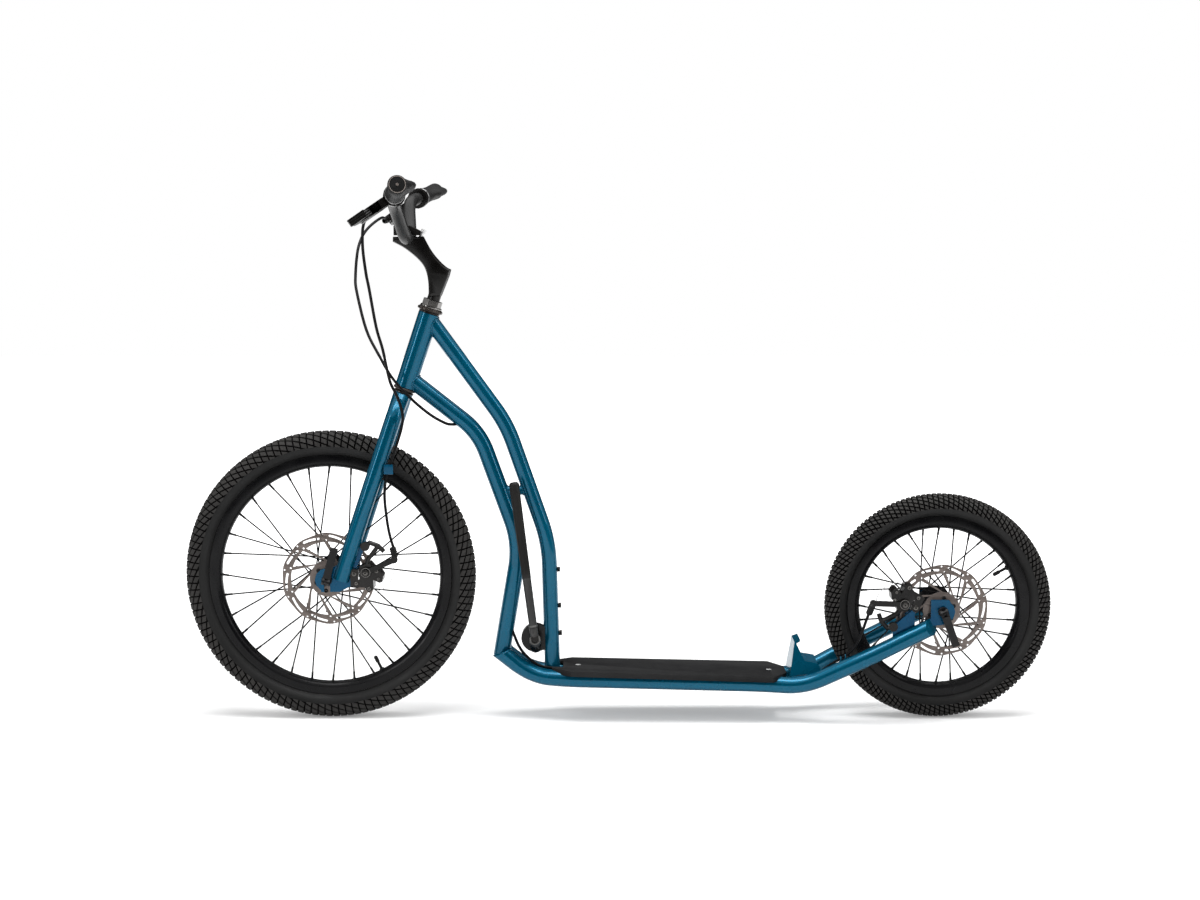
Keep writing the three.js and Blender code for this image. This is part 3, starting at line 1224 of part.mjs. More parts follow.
function makeCaliper(wheel, cableEnd) {
  const drop = wheel === frontWheel ? frontDrop : rearDrop;
  const rotorY = -(wheel.dropoutSpacing / 2 - hub.rotorOffset);
  const spot = (point, y) => {
    const [x, z] = caliperSpot(wheel, point);
    return at(x, y, z);
  };
  const outline = (points) => points.map((point) => caliperSpot(wheel, point));
  const outerY = -drop.outer - caliper.footThickness - gap;
  const innerY = outerY + caliper.depth;
  const earY = outerY + caliper.earDepth * half;
  const line = (point, fromY, toY, radius, sides = tubeSides) => rod(
    spot(point, fromY), spot(point, toY), radius, sides,
  );
  const bar0 = (points) => pipe(points.map((point) => spot(point, earY)), caliper.earRadius, cable.sides);
  const centre = [0, 0];
  const footY = -drop.outer - gap;
  const [lower, upper] = caliper.mounts;
  const slotHalf = rotor.thickness / 2 + caliper.padGap;
  const slot = rod(
    at(wheel.x, rotorY - slotHalf, wheel.z), at(wheel.x, rotorY + slotHalf, wheel.z),
    rotor.radius + caliper.rotorRoom, 2 * tubeSides,
  );
  const hubRoom = rod(
    at(wheel.x, footY + gap, wheel.z), at(wheel.x, overrun, wheel.z),
    rotor.radius - rotor.trackWidth - caliper.rotorRoom, 2 * tubeSides,
  );
  const plateRoom = sidePlate([
    [wheel.x - 4 * overrun, wheel.z - 4 * overrun], [wheel.x + 4 * overrun, wheel.z - 4 * overrun],
    [wheel.x + 4 * overrun, wheel.z + 4 * overrun], [wheel.x - 4 * overrun, wheel.z + 4 * overrun],
  ], -drop.inner + gap, footY).intersect(
    tabs(wheel, caliper.tabRadius + caliper.rotorRoom, -drop.inner + gap, footY),
  );
  const tube = wheel === frontWheel ? bladeRun(left, fork.bladeRadius + gap) : fatDeck(left);
  const solidCaliper = minus(
    union(
      sidePlate(outline(caliper.body), outerY, innerY), line(centre, outerY, innerY, caliper.hubRadius),
      sidePlate(outline(caliper.bracket), outerY, footY),
      line(lower, outerY, footY, caliper.tabRadius), line(upper, outerY, footY, caliper.tabRadius),
      bar0(caliper.ear), bar0(caliper.strut),
    ),
    slot, hubRoom, plateRoom, tube, line(centre, outerY - overrun, outerY + caliper.earDepth, bolts.radius + gap),
  );
  const biggest = biggestOf(solidCaliper);
  add(`${wheel.name}_caliper`, biggest, "black");

  const armFrom = outerY - gap;
  const armTo = armFrom - caliper.armThickness;
  const angle = caliper.armAngle * degree;
  const tipPoint = [caliper.armRadius * Math.cos(angle), caliper.armRadius * Math.sin(angle)];
  const side = [-Math.sin(angle) * caliper.armWidth * half, Math.cos(angle) * caliper.armWidth * half];
  const arm = union(
    line(centre, armFrom, armTo, caliper.armHub),
    sidePlate(outline([
      [-side[0], -side[1]], [tipPoint[0] - side[0], tipPoint[1] - side[1]],
      [tipPoint[0] + side[0], tipPoint[1] + side[1]], [side[0], side[1]],
    ]), armFrom, armTo),
    line(tipPoint, armFrom, armTo, caliper.armTip),
    line(centre, armTo, outerY + caliper.earDepth - gap, bolts.radius),
    line(centre, armTo - caliper.capHeight, armTo, caliper.armTip),
  );
  add(`${wheel.name}_caliper_arm`, arm, "black");

  const end = at(...cableEnd);
  const tip = spot(tipPoint, (armFrom + armTo) / 2);
  const along = tip.clone().sub(end).normalize();
  const bootFrom = end.clone().addScaledVector(along, 3 * gap);
  const bootTo = tip.clone().addScaledVector(along, -caliper.armTip - gap);
  add(`${wheel.name}_cable_boot`, rod(bootFrom, bootTo, boot.radius, cable.sides), "rubber");
}

// The two tabs that a caliper bolts to, joined to the tube beside them
function tabs(wheel, radius, fromY, toY) {
  const [lower, upper] = caliper.mounts.map((point) => caliperSpot(wheel, point));
  const disc = ([x, z]) => rod(at(x, fromY, z), at(x, toY, z), radius);
  const front = wheel === frontWheel;
  const tubeX = ([x, z]) => (front ? onHead(0).x + (z - onHead(0).z) * headUp.x / headUp.z : x);
  const tubeZ = ([x, z]) => (front ? z : stayHeight(x));
  const web = sidePlate([
    lower, upper, [tubeX(upper), tubeZ(upper)], [tubeX(lower), tubeZ(lower)],
  ], fromY, toY);
  return union(disc(lower), disc(upper), web);
}

function makeCables() {
  add("front_brake_cable", cableRun(frontCablePoints, cable.radius), "cable");
  add("rear_cable_loop", cableRun(rearLoopPoints, cable.radius), "cable");
  add("rear_brake_cable", cableRun(rearCablePoints, cable.radius), "cable");
}

function makeStand() {
  const pivot = at(stand.pivotX, stand.pivotY, stand.pivotZ);
  const tilt = stand.tilt * degree;
  const axis = at(0, -Math.cos(tilt), Math.sin(tilt));
  const along = (size) => pivot.clone().addScaledVector(axis, size);
  const hubHalf = stand.hubLength / 2;
  const legLean = stand.lean * degree;
  const up = at(-Math.sin(legLean), 0, Math.cos(legLean));
  const neck = pivot.clone().addScaledVector(up, stand.hubRadius * half);
  const foot = pivot.clone().addScaledVector(up, stand.length);
  const tipEnd = pivot.clone().addScaledVector(up, stand.length + stand.footRadius * half);
  const leg = minus(
    union(
      rod(neck, foot, stand.neckRadius, tubeSides, stand.footRadius),
      rod(foot, tipEnd, stand.footRadius, tubeSides, stand.footRadius * 0.6),
      rod(along(-hubHalf), along(hubHalf), stand.hubRadius),
    ),
    rod(along(-overrun), along(overrun), stand.pinRadius + gap),
    rod(along(hubHalf), along(hubHalf + stand.hubLength), stand.headRadius + 2 * gap),
  );
  add("kickstand_leg", leg, "black");

  const thick = stand.bracketThickness / 2;
  const disc = rod(
    at(pivot.x, -thick, pivot.z), at(pivot.x, thick, pivot.z), stand.bracketRadius, 2 * tubeSides,
  );
  const lug = block(
    stand.bracketRadius, 2 * thick, 2 * stand.bracketRadius - stand.headRadius,
    at(pivot.x + stand.bracketRadius * half, 0, pivot.z),
  );
  const boss = rod(along(-hubHalf - gap), along(pivot.y - hubHalf), stand.hubRadius);
  const pinTop = hubHalf + gap + stand.headLength;
  const boltRoom = rod(
    at(upperTube.footX - overrun, 0, bolts.standZ), at(upperTube.footX + overrun, 0, bolts.standZ),
    bolts.radius + gap,
  );
  const bracket = minus(
    union(disc, lug, boss, rod(along(-hubHalf - stand.pinRadius), along(pinTop), stand.pinRadius),
      rod(along(hubHalf + gap), along(pinTop), stand.headRadius)),
    upperRun(upperTube.radius + gap), boltRoom,
  );
  const biggest = biggestOf(bracket);
  add("stand_bracket", biggest, "black");
}

function makeTubeBolts() {
  const heights = [
    ["upper_bottle_bolt", bolts.upperBottleZ], ["lower_bottle_bolt", bolts.lowerBottleZ],
    ["stand_bracket_bolt", bolts.standZ],
  ];
  for (const [name, z] of heights) {
    const share = (upperTube.kneeZ - z) / (upperTube.kneeZ - upperTube.footZ);
    const centre = upperTube.kneeX + share * (upperTube.footX - upperTube.kneeX);
    const surface = centre + upperTube.radius;
    const line = (from, to, radius) => rod(at(from, 0, z), at(to, 0, z), radius);
    const bolt = union(
      line(surface - bolts.depth, surface + bolts.headLength, bolts.radius),
      line(surface + gap, surface + bolts.headLength, bolts.headRadius),
    );
    add(name, bolt, "black");
  }
}

makeFrameTubes();
makeHeadset();
makeFork();
makeRearDropouts();
makeDeck();
makeHeelBracket();
makeWheel(frontWheel);
makeWheel(rearWheel);
makeAxle(frontWheel, (90 - quickRelease.frontLean) * degree);
makeAxle(rearWheel, (90 - quickRelease.rearLean) * degree);
makeStem();
makeBarAndGrips();
makeLever("left", left);
makeLever("right", right);
makeCaliper(frontWheel, frontCablePoints[frontCablePoints.length - 1]);
makeCaliper(rearWheel, rearCablePoints[rearCablePoints.length - 1]);
makeCables();
makeStand();
makeTubeBolts();

export default bike;
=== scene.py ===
import bisect
import math

import bmesh
import bpy
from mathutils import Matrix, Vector


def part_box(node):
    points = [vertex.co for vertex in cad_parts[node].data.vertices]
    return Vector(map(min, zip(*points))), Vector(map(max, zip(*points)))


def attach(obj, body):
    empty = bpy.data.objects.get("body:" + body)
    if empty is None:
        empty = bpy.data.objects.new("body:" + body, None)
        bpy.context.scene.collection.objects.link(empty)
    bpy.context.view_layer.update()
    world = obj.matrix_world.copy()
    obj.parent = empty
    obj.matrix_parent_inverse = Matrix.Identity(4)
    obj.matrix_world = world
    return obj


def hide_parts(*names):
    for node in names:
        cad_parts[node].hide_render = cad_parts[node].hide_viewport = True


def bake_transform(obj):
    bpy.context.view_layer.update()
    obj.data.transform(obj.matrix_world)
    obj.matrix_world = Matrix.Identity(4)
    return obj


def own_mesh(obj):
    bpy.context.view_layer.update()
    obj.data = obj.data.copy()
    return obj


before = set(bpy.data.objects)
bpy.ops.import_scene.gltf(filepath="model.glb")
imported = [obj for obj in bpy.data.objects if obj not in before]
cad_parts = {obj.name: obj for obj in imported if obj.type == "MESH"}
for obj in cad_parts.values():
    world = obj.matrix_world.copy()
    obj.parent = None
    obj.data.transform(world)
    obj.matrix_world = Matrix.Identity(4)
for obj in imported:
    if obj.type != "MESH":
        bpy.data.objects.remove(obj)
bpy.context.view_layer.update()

# Studio. The bike stands on a wide pale floor before a white room. The camera is where the
# photograph was taken from: 3.35 m to the rider's left, chest high, looking slightly down.
# Two curved dark screens beside the camera show only in reflections.
scene = bpy.context.scene
MM = 0.001
WHITE, BLACK = (1, 1, 1, 1), (0, 0, 0, 1)
CAMERA_PLACE = (-33, -3345, 867.5)
CAMERA_PITCH = math.radians(83.25)
CAMERA_LENS, SENSOR_WIDTH = 58.25, 36
camera_data = bpy.data.cameras.new("studio_camera")
camera_data.lens = CAMERA_LENS
camera_data.sensor_width = SENSOR_WIDTH
camera = bpy.data.objects.new("studio_camera", camera_data)
camera.location = [value * MM for value in CAMERA_PLACE]
camera.rotation_euler = (CAMERA_PITCH, 0, 0)
scene.collection.objects.link(camera)
scene.camera = camera
scene.view_settings.view_transform = "Standard"


def add_node(tree, kind, inputs=None, **settings):
    """A shader node. An input, by label or number, takes a value or another node's socket."""
    node = tree.nodes.new("ShaderNode" + kind)
    for label, value in settings.items():
        setattr(node, label, value)
    for label, value in (inputs or {}).items():
        if isinstance(value, bpy.types.NodeSocket):
            tree.links.new(value, node.inputs[label])
        else:
            node.inputs[label].default_value = value
    return node


def background_rays(tree):
    """One where a ray comes from the camera, a mirror-like face or glass, and zero elsewhere."""
    path = add_node(tree, "LightPath")
    total = path.outputs["Is Camera Ray"]
    for label in ("Is Glossy Ray", "Is Transmission Ray"):
        both = add_node(tree, "Math", {0: total, 1: path.outputs[label]}, operation="MAXIMUM")
        total = both.outputs[0]
    return total


def dull_material(name, colour):
    """A material of one colour that mirrors nothing, and its shader."""
    material = bpy.data.materials.new(name)
    material.use_nodes = True
    shader = material.node_tree.nodes["Principled BSDF"]
    shader.inputs["Base Color"].default_value = colour
    shader.inputs["Specular IOR Level"].default_value = 0
    return material, shader


def stage_piece(name, corners, faces, material, unseen_by=()):
    """A mesh of the studio, in metres."""
    mesh = bpy.data.meshes.new(name)
    mesh.from_pydata(corners, [], faces)
    mesh.materials.append(material)
    piece = bpy.data.objects.new(name, mesh)
    for rays in unseen_by:
        setattr(piece, "visible_" + rays, False)
    scene.collection.objects.link(piece)


ROOM_LIGHT = 0.5
world = bpy.data.worlds.new("white_room")
scene.world = world
world.use_nodes = True
room = world.node_tree
room_light = room.nodes["Background"]
room_light.inputs["Color"].default_value = WHITE
room_level = add_node(room, "MapRange", {
    "Value": background_rays(room), "To Min": ROOM_LIGHT, "To Max": 1,
})
room.links.new(room_level.outputs["Result"], room_light.inputs["Strength"])

FLOOR_REACH, FLOOR_COLOUR, FLOOR_PATCH = 9, (0.82, 0.82, 0.82, 1), (1.3, 0.8, 1)
FLOOR_GLOW, FAR_FLOOR_GLOW, GLOW_FROM, GLOW_TO = 0.2, 1, 0.9, 2.6
floor_material, floor_shader = dull_material("pale_floor", FLOOR_COLOUR)
floor_shader.inputs["Roughness"].default_value = 1
floor_shader.inputs["Emission Color"].default_value = WHITE
floor_tree = floor_material.node_tree
floor_place = add_node(floor_tree, "TexCoord")
floor_patch = add_node(floor_tree, "VectorMath", {
    0: floor_place.outputs["Object"], 1: FLOOR_PATCH,
}, operation="DIVIDE")
floor_far = add_node(floor_tree, "VectorMath", {0: floor_patch.outputs[0]}, operation="LENGTH")
floor_level = add_node(floor_tree, "MapRange", {
    "Value": floor_far.outputs["Value"], "From Min": GLOW_FROM, "From Max": GLOW_TO,
    "To Min": FLOOR_GLOW, "To Max": FAR_FLOOR_GLOW,
}, interpolation_type="SMOOTHSTEP")
floor_glow = add_node(floor_tree, "Math", {
    0: background_rays(floor_tree), 1: floor_level.outputs["Result"],
}, operation="MULTIPLY")
floor_tree.links.new(floor_glow.outputs[0], floor_shader.inputs["Emission Strength"])
floor_corners = [
    (x * FLOOR_REACH, y * FLOOR_REACH, 0) for x, y in ((-1, -1), (1, -1), (1, 1), (-1, 1))
]
stage_piece("floor", floor_corners, [(0, 1, 2, 3)], floor_material)

BIKE_MIDDLE = Vector((0, 0, 0.4))
for name, place, width, height, watts in (
    ("overhead_box", (0.1, -0.4, 3.2), 3.4, 1.4, 130),
    ("left_box", (-3.2, -2.2, 1.9), 0.5, 2.4, 40),
    ("right_box", (3.4, -1.4, 2.1), 0.5, 2.4, 32),
):
    softbox = bpy.data.lights.new(name, "AREA")
    softbox.shape = "RECTANGLE"
    softbox.size = width
    softbox.size_y = height
    softbox.energy = watts
    lamp = bpy.data.objects.new(name, softbox)
    lamp.location = place
    lamp.rotation_euler = (BIKE_MIDDLE - Vector(place)).to_track_quat("-Z", "Y").to_euler()
    scene.collection.objects.link(lamp)

SCREEN_DISTANCE, SCREEN_HEIGHT, SCREEN_SPREAD, SCREEN_PANELS = 4.6, 3.6, 78, 16
screen_cloth = dull_material("screen_cloth", (0.02, 0.02, 0.02, 1))[0]
for name, facing in (("left_screen", -90), ("right_screen", 90)):
    corners = []
    for k in range(SCREEN_PANELS + 1):
        turn = math.radians(facing + SCREEN_SPREAD * (2 * k / SCREEN_PANELS - 1))
        x, y = SCREEN_DISTANCE * math.cos(turn), SCREEN_DISTANCE * math.sin(turn)
        corners += [(x, y, 0), (x, y, SCREEN_HEIGHT)]
    panels = [(2 * k, 2 * k + 2, 2 * k + 3, 2 * k + 1) for k in range(SCREEN_PANELS)]
    stage_piece(
        name, corners, panels, screen_cloth, ("camera", "diffuse", "transmission", "shadow"),
    )

# Paint. The frame, fork, heel bracket and dropouts share one metallic teal-blue gloss paint:
# fine flakes under a clear coat. On the plates it is drawn darker, a painted shade, and paler teal
# at sharp edges.


def node_group(name, inputs, outputs):
    """An empty shader node group, the sockets of what it is given and of what it puts out."""
    group = bpy.data.node_groups.new(name, "ShaderNodeTree")
    for label, value in inputs.items():
        kind = "NodeSocketColor" if isinstance(value, tuple) else "NodeSocketFloat"
        socket = group.interface.new_socket(label, in_out="INPUT", socket_type=kind)
        socket.default_value = value
    for label in outputs:
        kind = "NodeSocketColor" if label == "Colour" else "NodeSocketFloat"
        group.interface.new_socket(label, in_out="OUTPUT", socket_type=kind)
    given = group.nodes.new("NodeGroupInput").outputs
    return group, given, group.nodes.new("NodeGroupOutput").inputs


def stretched(group, value, low, high, top=1):
    """A value between two limits, stretched to run from zero to a top."""
    return add_node(group, "MapRange", {
        "Value": value, "From Min": low, "From Max": high, "To Max": top,
    }).outputs["Result"]


def mixed(group, share, first, second):
    """Two colours mixed by a share of the second."""
    mix = add_node(group, "Mix", {"Factor": share, 6: first, 7: second}, data_type="RGBA")
    return mix.outputs[2]


def uneven_colour_group():
    """Two tones of one colour, mixed by soft clouds of a given size."""
    group, given, made = node_group(
        "uneven_colour", {"Tone": WHITE, "Deep Tone": BLACK, "Scale": 20, "Detail": 3}, ["Colour"],
    )
    cloud = add_node(group, "TexNoise", {
        "Vector": add_node(group, "TexCoord").outputs["Object"], "Scale": given["Scale"],
        "Detail": given["Detail"],
    })
    share = stretched(group, cloud.outputs["Fac"], 0.35, 0.65)
    group.links.new(mixed(group, share, given["Deep Tone"], given["Tone"]), made["Colour"])
    return group


def fine_grain_group():
    """A height of fine grain, and a roughness that wanders in soft smears."""
    group, given, made = node_group(
        "fine_grain", {"Scale": 900, "Smoothest": 0.3, "Roughest": 0.5}, ["Height", "Roughness"],
    )
    place = add_node(group, "TexCoord").outputs["Object"]
    grain = add_node(group, "TexNoise", {"Vector": place, "Scale": given["Scale"], "Detail": 2})
    smears = add_node(group, "TexNoise", {"Vector": place, "Scale": 35})
    spread = add_node(group, "MapRange", {
        "Value": smears.outputs["Fac"], "From Min": 0.3, "From Max": 0.7,
        "To Min": given["Smoothest"], "To Max": given["Roughest"],
    })
    group.links.new(grain.outputs["Fac"], made["Height"])
    group.links.new(spread.outputs["Result"], made["Roughness"])
    return group


def flake_group():
    """The tone of each metal flake: most near the paint's own, a few that catch the light."""
    group, given, made = node_group(
        "paint_flakes", {"Tone": WHITE, "Bright Tone": WHITE, "Scale": 1500}, ["Colour"],
    )
    cells = add_node(group, "TexVoronoi", {
        "Vector": add_node(group, "TexCoord").outputs["Object"], "Scale": given["Scale"],
    })
    few = stretched(group, cells.outputs["Color"], 0.55, 1, 0.5)
    group.links.new(mixed(group, few, given["Tone"], given["Bright Tone"]), made["Colour"])
    return group


def edge_rub_group():
    """A colour with a paler tone where the surface turns a sharp edge."""
    group, given, made = node_group(
        "edge_rub", {"Colour": BLACK, "Rubbed": WHITE, "Amount": 0.5}, ["Colour"],
    )
    sharp = stretched(group, add_node(group, "NewGeometry").outputs["Pointiness"], 0.54, 0.66)
    share = add_node(group, "Math", {0: sharp, 1: given["Amount"]}, operation="MULTIPLY")
    worn = mixed(group, share.outputs[0], given["Colour"], given["Rubbed"])
    group.links.new(worn, made["Colour"])
    return group


uneven_colour = uneven_colour_group()
fine_grain = fine_grain_group()
paint_flakes = flake_group()
edge_rub = edge_rub_group()
GRAIN_HEIGHT, COAT_ROUGHNESS = 0.4 * MM, 0.06


def rgba(tone):
    """A colour from its red, green and blue, or a grey from one number."""
    return (*tone, 1) if isinstance(tone, tuple) else (tone, tone, tone, 1)


def finish_of(name, tone, deep_tone, cloud=20, grain=900, bump=0.05, smooth=0.3, rough=0.45,
              rubbed=None, rub=0.5, flakes=None, shine=0.5, metal=0, coat=0):
    """A material: two tones in soft clouds, flakes or rubbed edges over them, and fine grain."""
    material = bpy.data.materials.new(name)
    material.use_nodes = True
    tree = material.node_tree
    shader = tree.nodes["Principled BSDF"]
    for label, value in (
        ("Specular IOR Level", shine), ("Metallic", metal), ("Coat Weight", coat),
        ("Coat Roughness", COAT_ROUGHNESS),
    ):
        shader.inputs[label].default_value = value

    def effect(group, inputs):
        return add_node(tree, "Group", inputs, node_tree=group).outputs

    colour = effect(uneven_colour, {
        "Tone": rgba(tone), "Deep Tone": rgba(deep_tone), "Scale": cloud,
    })["Colour"]
    if flakes:
        colour = effect(paint_flakes, {"Tone": colour, "Bright Tone": rgba(flakes)})["Colour"]
    if rubbed:
        colour = effect(edge_rub, {
            "Colour": colour, "Rubbed": rgba(rubbed), "Amount": rub,
        })["Colour"]
    grains = effect(fine_grain, {"Scale": grain, "Smoothest": smooth, "Roughest": rough})
    relief = add_node(tree, "Bump", {
        "Strength": bump, "Distance": GRAIN_HEIGHT, "Height": grains["Height"],
    })
    tree.links.new(colour, shader.inputs["Base Color"])
    tree.links.new(grains["Roughness"], shader.inputs["Roughness"])
    tree.links.new(relief.outputs["Normal"], shader.inputs["Normal"])
    return material


teal_paint = finish_of(
    "teal_paint", (0.0003, 0.083, 0.148), (0.0002, 0.07, 0.128), cloud=6, grain=400, bump=0.01,
    smooth=0.24, rough=0.3, flakes=(0.001, 0.12, 0.19), metal=0.5, shine=0.05, coat=0.32,
)
# The frame's paint drawn darker on the flat plates as painted shade, with a paler teal at sharp
# edges.
plate_paint_painted_shade = finish_of(
    "plate_paint_painted_shade", (0.0003, 0.05, 0.112), (0.0002, 0.036, 0.09), cloud=14, grain=400, bump=0.01,
    smooth=0.24, rough=0.3, flakes=(0.001, 0.08, 0.15), rubbed=(0.02, 0.16, 0.24), rub=0.4,
    metal=0.6, shine=0.05, coat=0.2,
)

# Frame tubes. Welded steel tubes: a short head tube, a high main tube that drops behind the
# low one, and two deck tubes that leave the low tube's foot and rise on as the rear stays.
MERGE_WITHIN = 0.01


def place_piece(name, shape, finish, body, stands_for=(), crease=32, rounded=0):
    """Makes a mesh of a shape in millimetres, rounds its edges and lets it ride on its body."""
    corners, faces = shape
    mesh = bpy.data.meshes.new(name)
    mesh.from_pydata([tuple(value * MM for value in corner) for corner in corners], [], faces)
    work = bmesh.new()
    work.from_mesh(mesh)
    bmesh.ops.remove_doubles(work, verts=work.verts, dist=MERGE_WITHIN * MM)
    bmesh.ops.recalc_face_normals(work, faces=work.faces)
    if rounded:
        bmesh.ops.dissolve_limit(
            work, angle_limit=math.radians(1), verts=work.verts, edges=work.edges,
        )
        sharp = [
            edge for edge in work.edges
            if len(edge.link_faces) == 2 and edge.calc_face_angle(0) > math.radians(crease)
        ]
        bmesh.ops.bevel(
            work, geom=sharp, offset=rounded * MM, segments=2, profile=0.5, affect="EDGES",
            clamp_overlap=True,
        )
    work.to_mesh(mesh)
    work.free()
    mesh.materials.append(finish)
    mesh.shade_smooth()
    mesh.set_sharp_from_angle(angle=math.radians(crease))
    piece = bpy.data.objects.new(name, mesh)
    scene.collection.objects.link(piece)
    if rounded:
        even = piece.modifiers.new("even_faces", "WEIGHTED_NORMAL")
        even.keep_sharp = True
    if body:
        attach(piece, body)
    if stands_for:
        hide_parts(*stands_for)
    return piece


def solid_shape(node):
    """The corners, in millimetres, and the faces of a solid of the frame."""
    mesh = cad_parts[node].data
    corners = [tuple(value / MM for value in vertex.co) for vertex in mesh.vertices]
    return corners, [tuple(face.vertices) for face in mesh.polygons]


def dressed(name, node, finish, body, crease=30, rounded=1):
    """A solid of the frame with its edges rounded."""
    return place_piece(name, solid_shape(node), finish, body, [node], crease, rounded)


def together(*shapes):
    """Several shapes as one."""
    corners, faces = [], []
    for more_corners, more_faces in shapes:
        start = len(corners)
        corners += [tuple(corner) for corner in more_corners]
        faces += [tuple(start + index for index in face) for face in more_faces]
    return corners, faces


def rings_to_shape(rings, looped=False, capped=True):
    """Faces between rings of corners that have the same count."""
    count = len(rings[0])
    corners = [corner for ring in rings for corner in ring]
    faces = []
    spans = len(rings) if looped else len(rings) - 1
    for i in range(spans):
        here, there = i * count, (i + 1) % len(rings) * count
        for k in range(count):
            after = (k + 1) % count
            faces.append((here + k, here + after, there + after, there + k))
    if capped and not looped:
        faces.append(tuple(range(count)))
        faces.append(tuple(reversed(range(len(corners) - count, len(corners)))))
    return corners, faces


def square_to(run):
    """A direction square to a run."""
    return run.cross(Vector((0, 1, 0)) if abs(run.y) < 0.6 else Vector((1, 0, 0))).normalized()


def ring_of(centre, radius, across, beside, count):
    """Corners evenly round a centre, in the plane of two directions."""
    turns = [2 * math.pi * k / count for k in range(count)]
    return [centre + radius * (math.cos(t) * across + math.sin(t) * beside) for t in turns]


def swept(path, sizes, sides=28, cut_first=None, cut_last=None):
    """A round bar along a path. A cut is a plane that an end's corners slide onto."""
    path = [Vector(spot) for spot in path]
    if not hasattr(sizes, "__len__"):
        sizes = [sizes] * len(path)
    last = len(path) - 1
    across = None
    rings = []
    for i, spot in enumerate(path):
        run = (path[min(i + 1, last)] - path[max(i - 1, 0)]).normalized()
        across = across or square_to(run)
        across = (across - across.dot(run) * run).normalized()
        ring = ring_of(spot, sizes[i], across, run.cross(across), sides)
        cut = cut_first if i == 0 else cut_last if i == last else None
        if cut:
            place, way = cut
            ring = [corner + run * (place - corner).dot(way) / run.dot(way) for corner in ring]
        rings.append(ring)
    return rings_to_shape(rings)


def turned(profile, foot, axis, steps=48, looped=False):
    """A lathed shape: (radius, height) pairs about an axis through the foot."""
    axis = Vector(axis).normalized()
    across = square_to(axis)
    rings = [
        ring_of(Vector(foot) + axis * height, radius, across, axis.cross(across), steps)
        for radius, height in profile
    ]
    return rings_to_shape(rings, looped=looped)


def bent(corners, lengths, steps=12):
    """Straight runs joined by smooth bends that start a set length before each corner."""
    corners = [Vector(corner) for corner in corners]
    path = [corners[0]]
    for i in range(1, len(corners) - 1):
        corner, length = corners[i], lengths[i - 1]
        start = corner + (corners[i - 1] - corner).normalized() * length
        end = corner + (corners[i + 1] - corner).normalized() * length
        for k in range(steps + 1):
            share = k / steps
            first, second = start.lerp(corner, share), corner.lerp(end, share)
            path.append(first.lerp(second, share))
    return path + [corners[-1]]


BEAD_SIDES, BEAD_RIPPLE = 8, 0.12


def weld_bead(spot, run, radius, other_spot, other_run, other_radius, thick, steps=40):
    """A bead round a bar where it meets the side of another round bar."""
    run, other_run = Vector(run).normalized(), Vector(other_run).normalized()
    across = run.cross(Vector((0, 1, 0))).normalized()
    loop = []
    for start in ring_of(Vector(spot), radius, across, run.cross(across), steps):
        off = start - Vector(other_spot)
        off -= off.dot(other_run) * other_run
        flat = run - run.dot(other_run) * other_run
        a, b, c = flat.dot(flat), 2 * off.dot(flat), off.dot(off) - other_radius ** 2
        reach = (-b - math.sqrt(max(b * b - 4 * a * c, 0))) / (2 * a)
        loop.append(start + run * reach)
    middle = sum(loop, Vector()) / steps
    rings = []
    for k, point in enumerate(loop):
        along = (loop[(k + 1) % steps] - loop[k - 1]).normalized()
        out = (point - middle).normalized()
        swell = thick * (1 + BEAD_RIPPLE * math.cos(math.pi * k))
        rings.append(ring_of(point, swell, out, along.cross(out).normalized(), BEAD_SIDES))
    return rings_to_shape(rings, looped=True)


LEFT, RIGHT = -1, 1
SIDES = ((LEFT, "left"), (RIGHT, "right"))
MAIN_RADIUS, UPPER_RADIUS = 14.3, 13.5
HEAD_RADIUS, HEAD_BORE, HEAD_CHAMFER, HEAD_LENGTH = 18, 15.4, 0.8, 135
HEAD_LEAN = math.radians(18.4)
FORK_REACH, FORK_RAKE = 353, 22.6
FRONT_AXLE, REAR_AXLE = Vector((-502.5, 0, 253)), Vector((557.5, 0, 198))
HEAD_UP = Vector((math.sin(HEAD_LEAN), 0, math.cos(HEAD_LEAN)))
HEAD_BACK = Vector((math.cos(HEAD_LEAN), 0, -math.sin(HEAD_LEAN)))


def on_head(height, back=0, side=0):
    """A point at a height along the steering axis, behind it and to one side."""
    point = FRONT_AXLE + HEAD_UP * (FORK_REACH + height) + HEAD_BACK * (FORK_RAKE + back)
    return point + Vector((0, side, 0))


head_tube = turned([
    (HEAD_BORE, 0), (HEAD_RADIUS - HEAD_CHAMFER, 0), (HEAD_RADIUS, HEAD_CHAMFER),
    (HEAD_RADIUS, HEAD_LENGTH - HEAD_CHAMFER), (HEAD_RADIUS - HEAD_CHAMFER, HEAD_LENGTH),
    (HEAD_BORE, HEAD_LENGTH),
], on_head(0), HEAD_UP, looped=True)

UPPER_CORNERS = [on_head(128), (-195, 0, 517), (-122.5, 0, 310), (-116, 0, 70)]
LOWER_CORNERS = [on_head(18), (-242.5, 0, 502), (-172.5, 0, 308), (-204.5, 0, 117)]
upper_tube = swept(bent(UPPER_CORNERS, [34, 40]), UPPER_RADIUS)

DECK_NOSE_SIDE, DECK_SIDE, STAY_SIDE = 14.7, 36, 66
DECK_NOSE_X, DECK_WIDE_X, DECK_SPLAY_X, STAY_X = -160, -96, 250, 430
DECK_KNEE_X, DECK_LEVEL, DECK_LEVEL_X, DECK_FALL, DECK_LEAD = -153, 73.2, -33, 0.025, 8
STAY_KNEE_X, STAY_RISE, STAY_END_X = 321, 0.503, 540


def deck_height(x):
    return DECK_LEVEL - DECK_FALL * (x - DECK_LEVEL_X)


def stay_height(x):
    return deck_height(STAY_KNEE_X) + STAY_RISE * (x - STAY_KNEE_X)


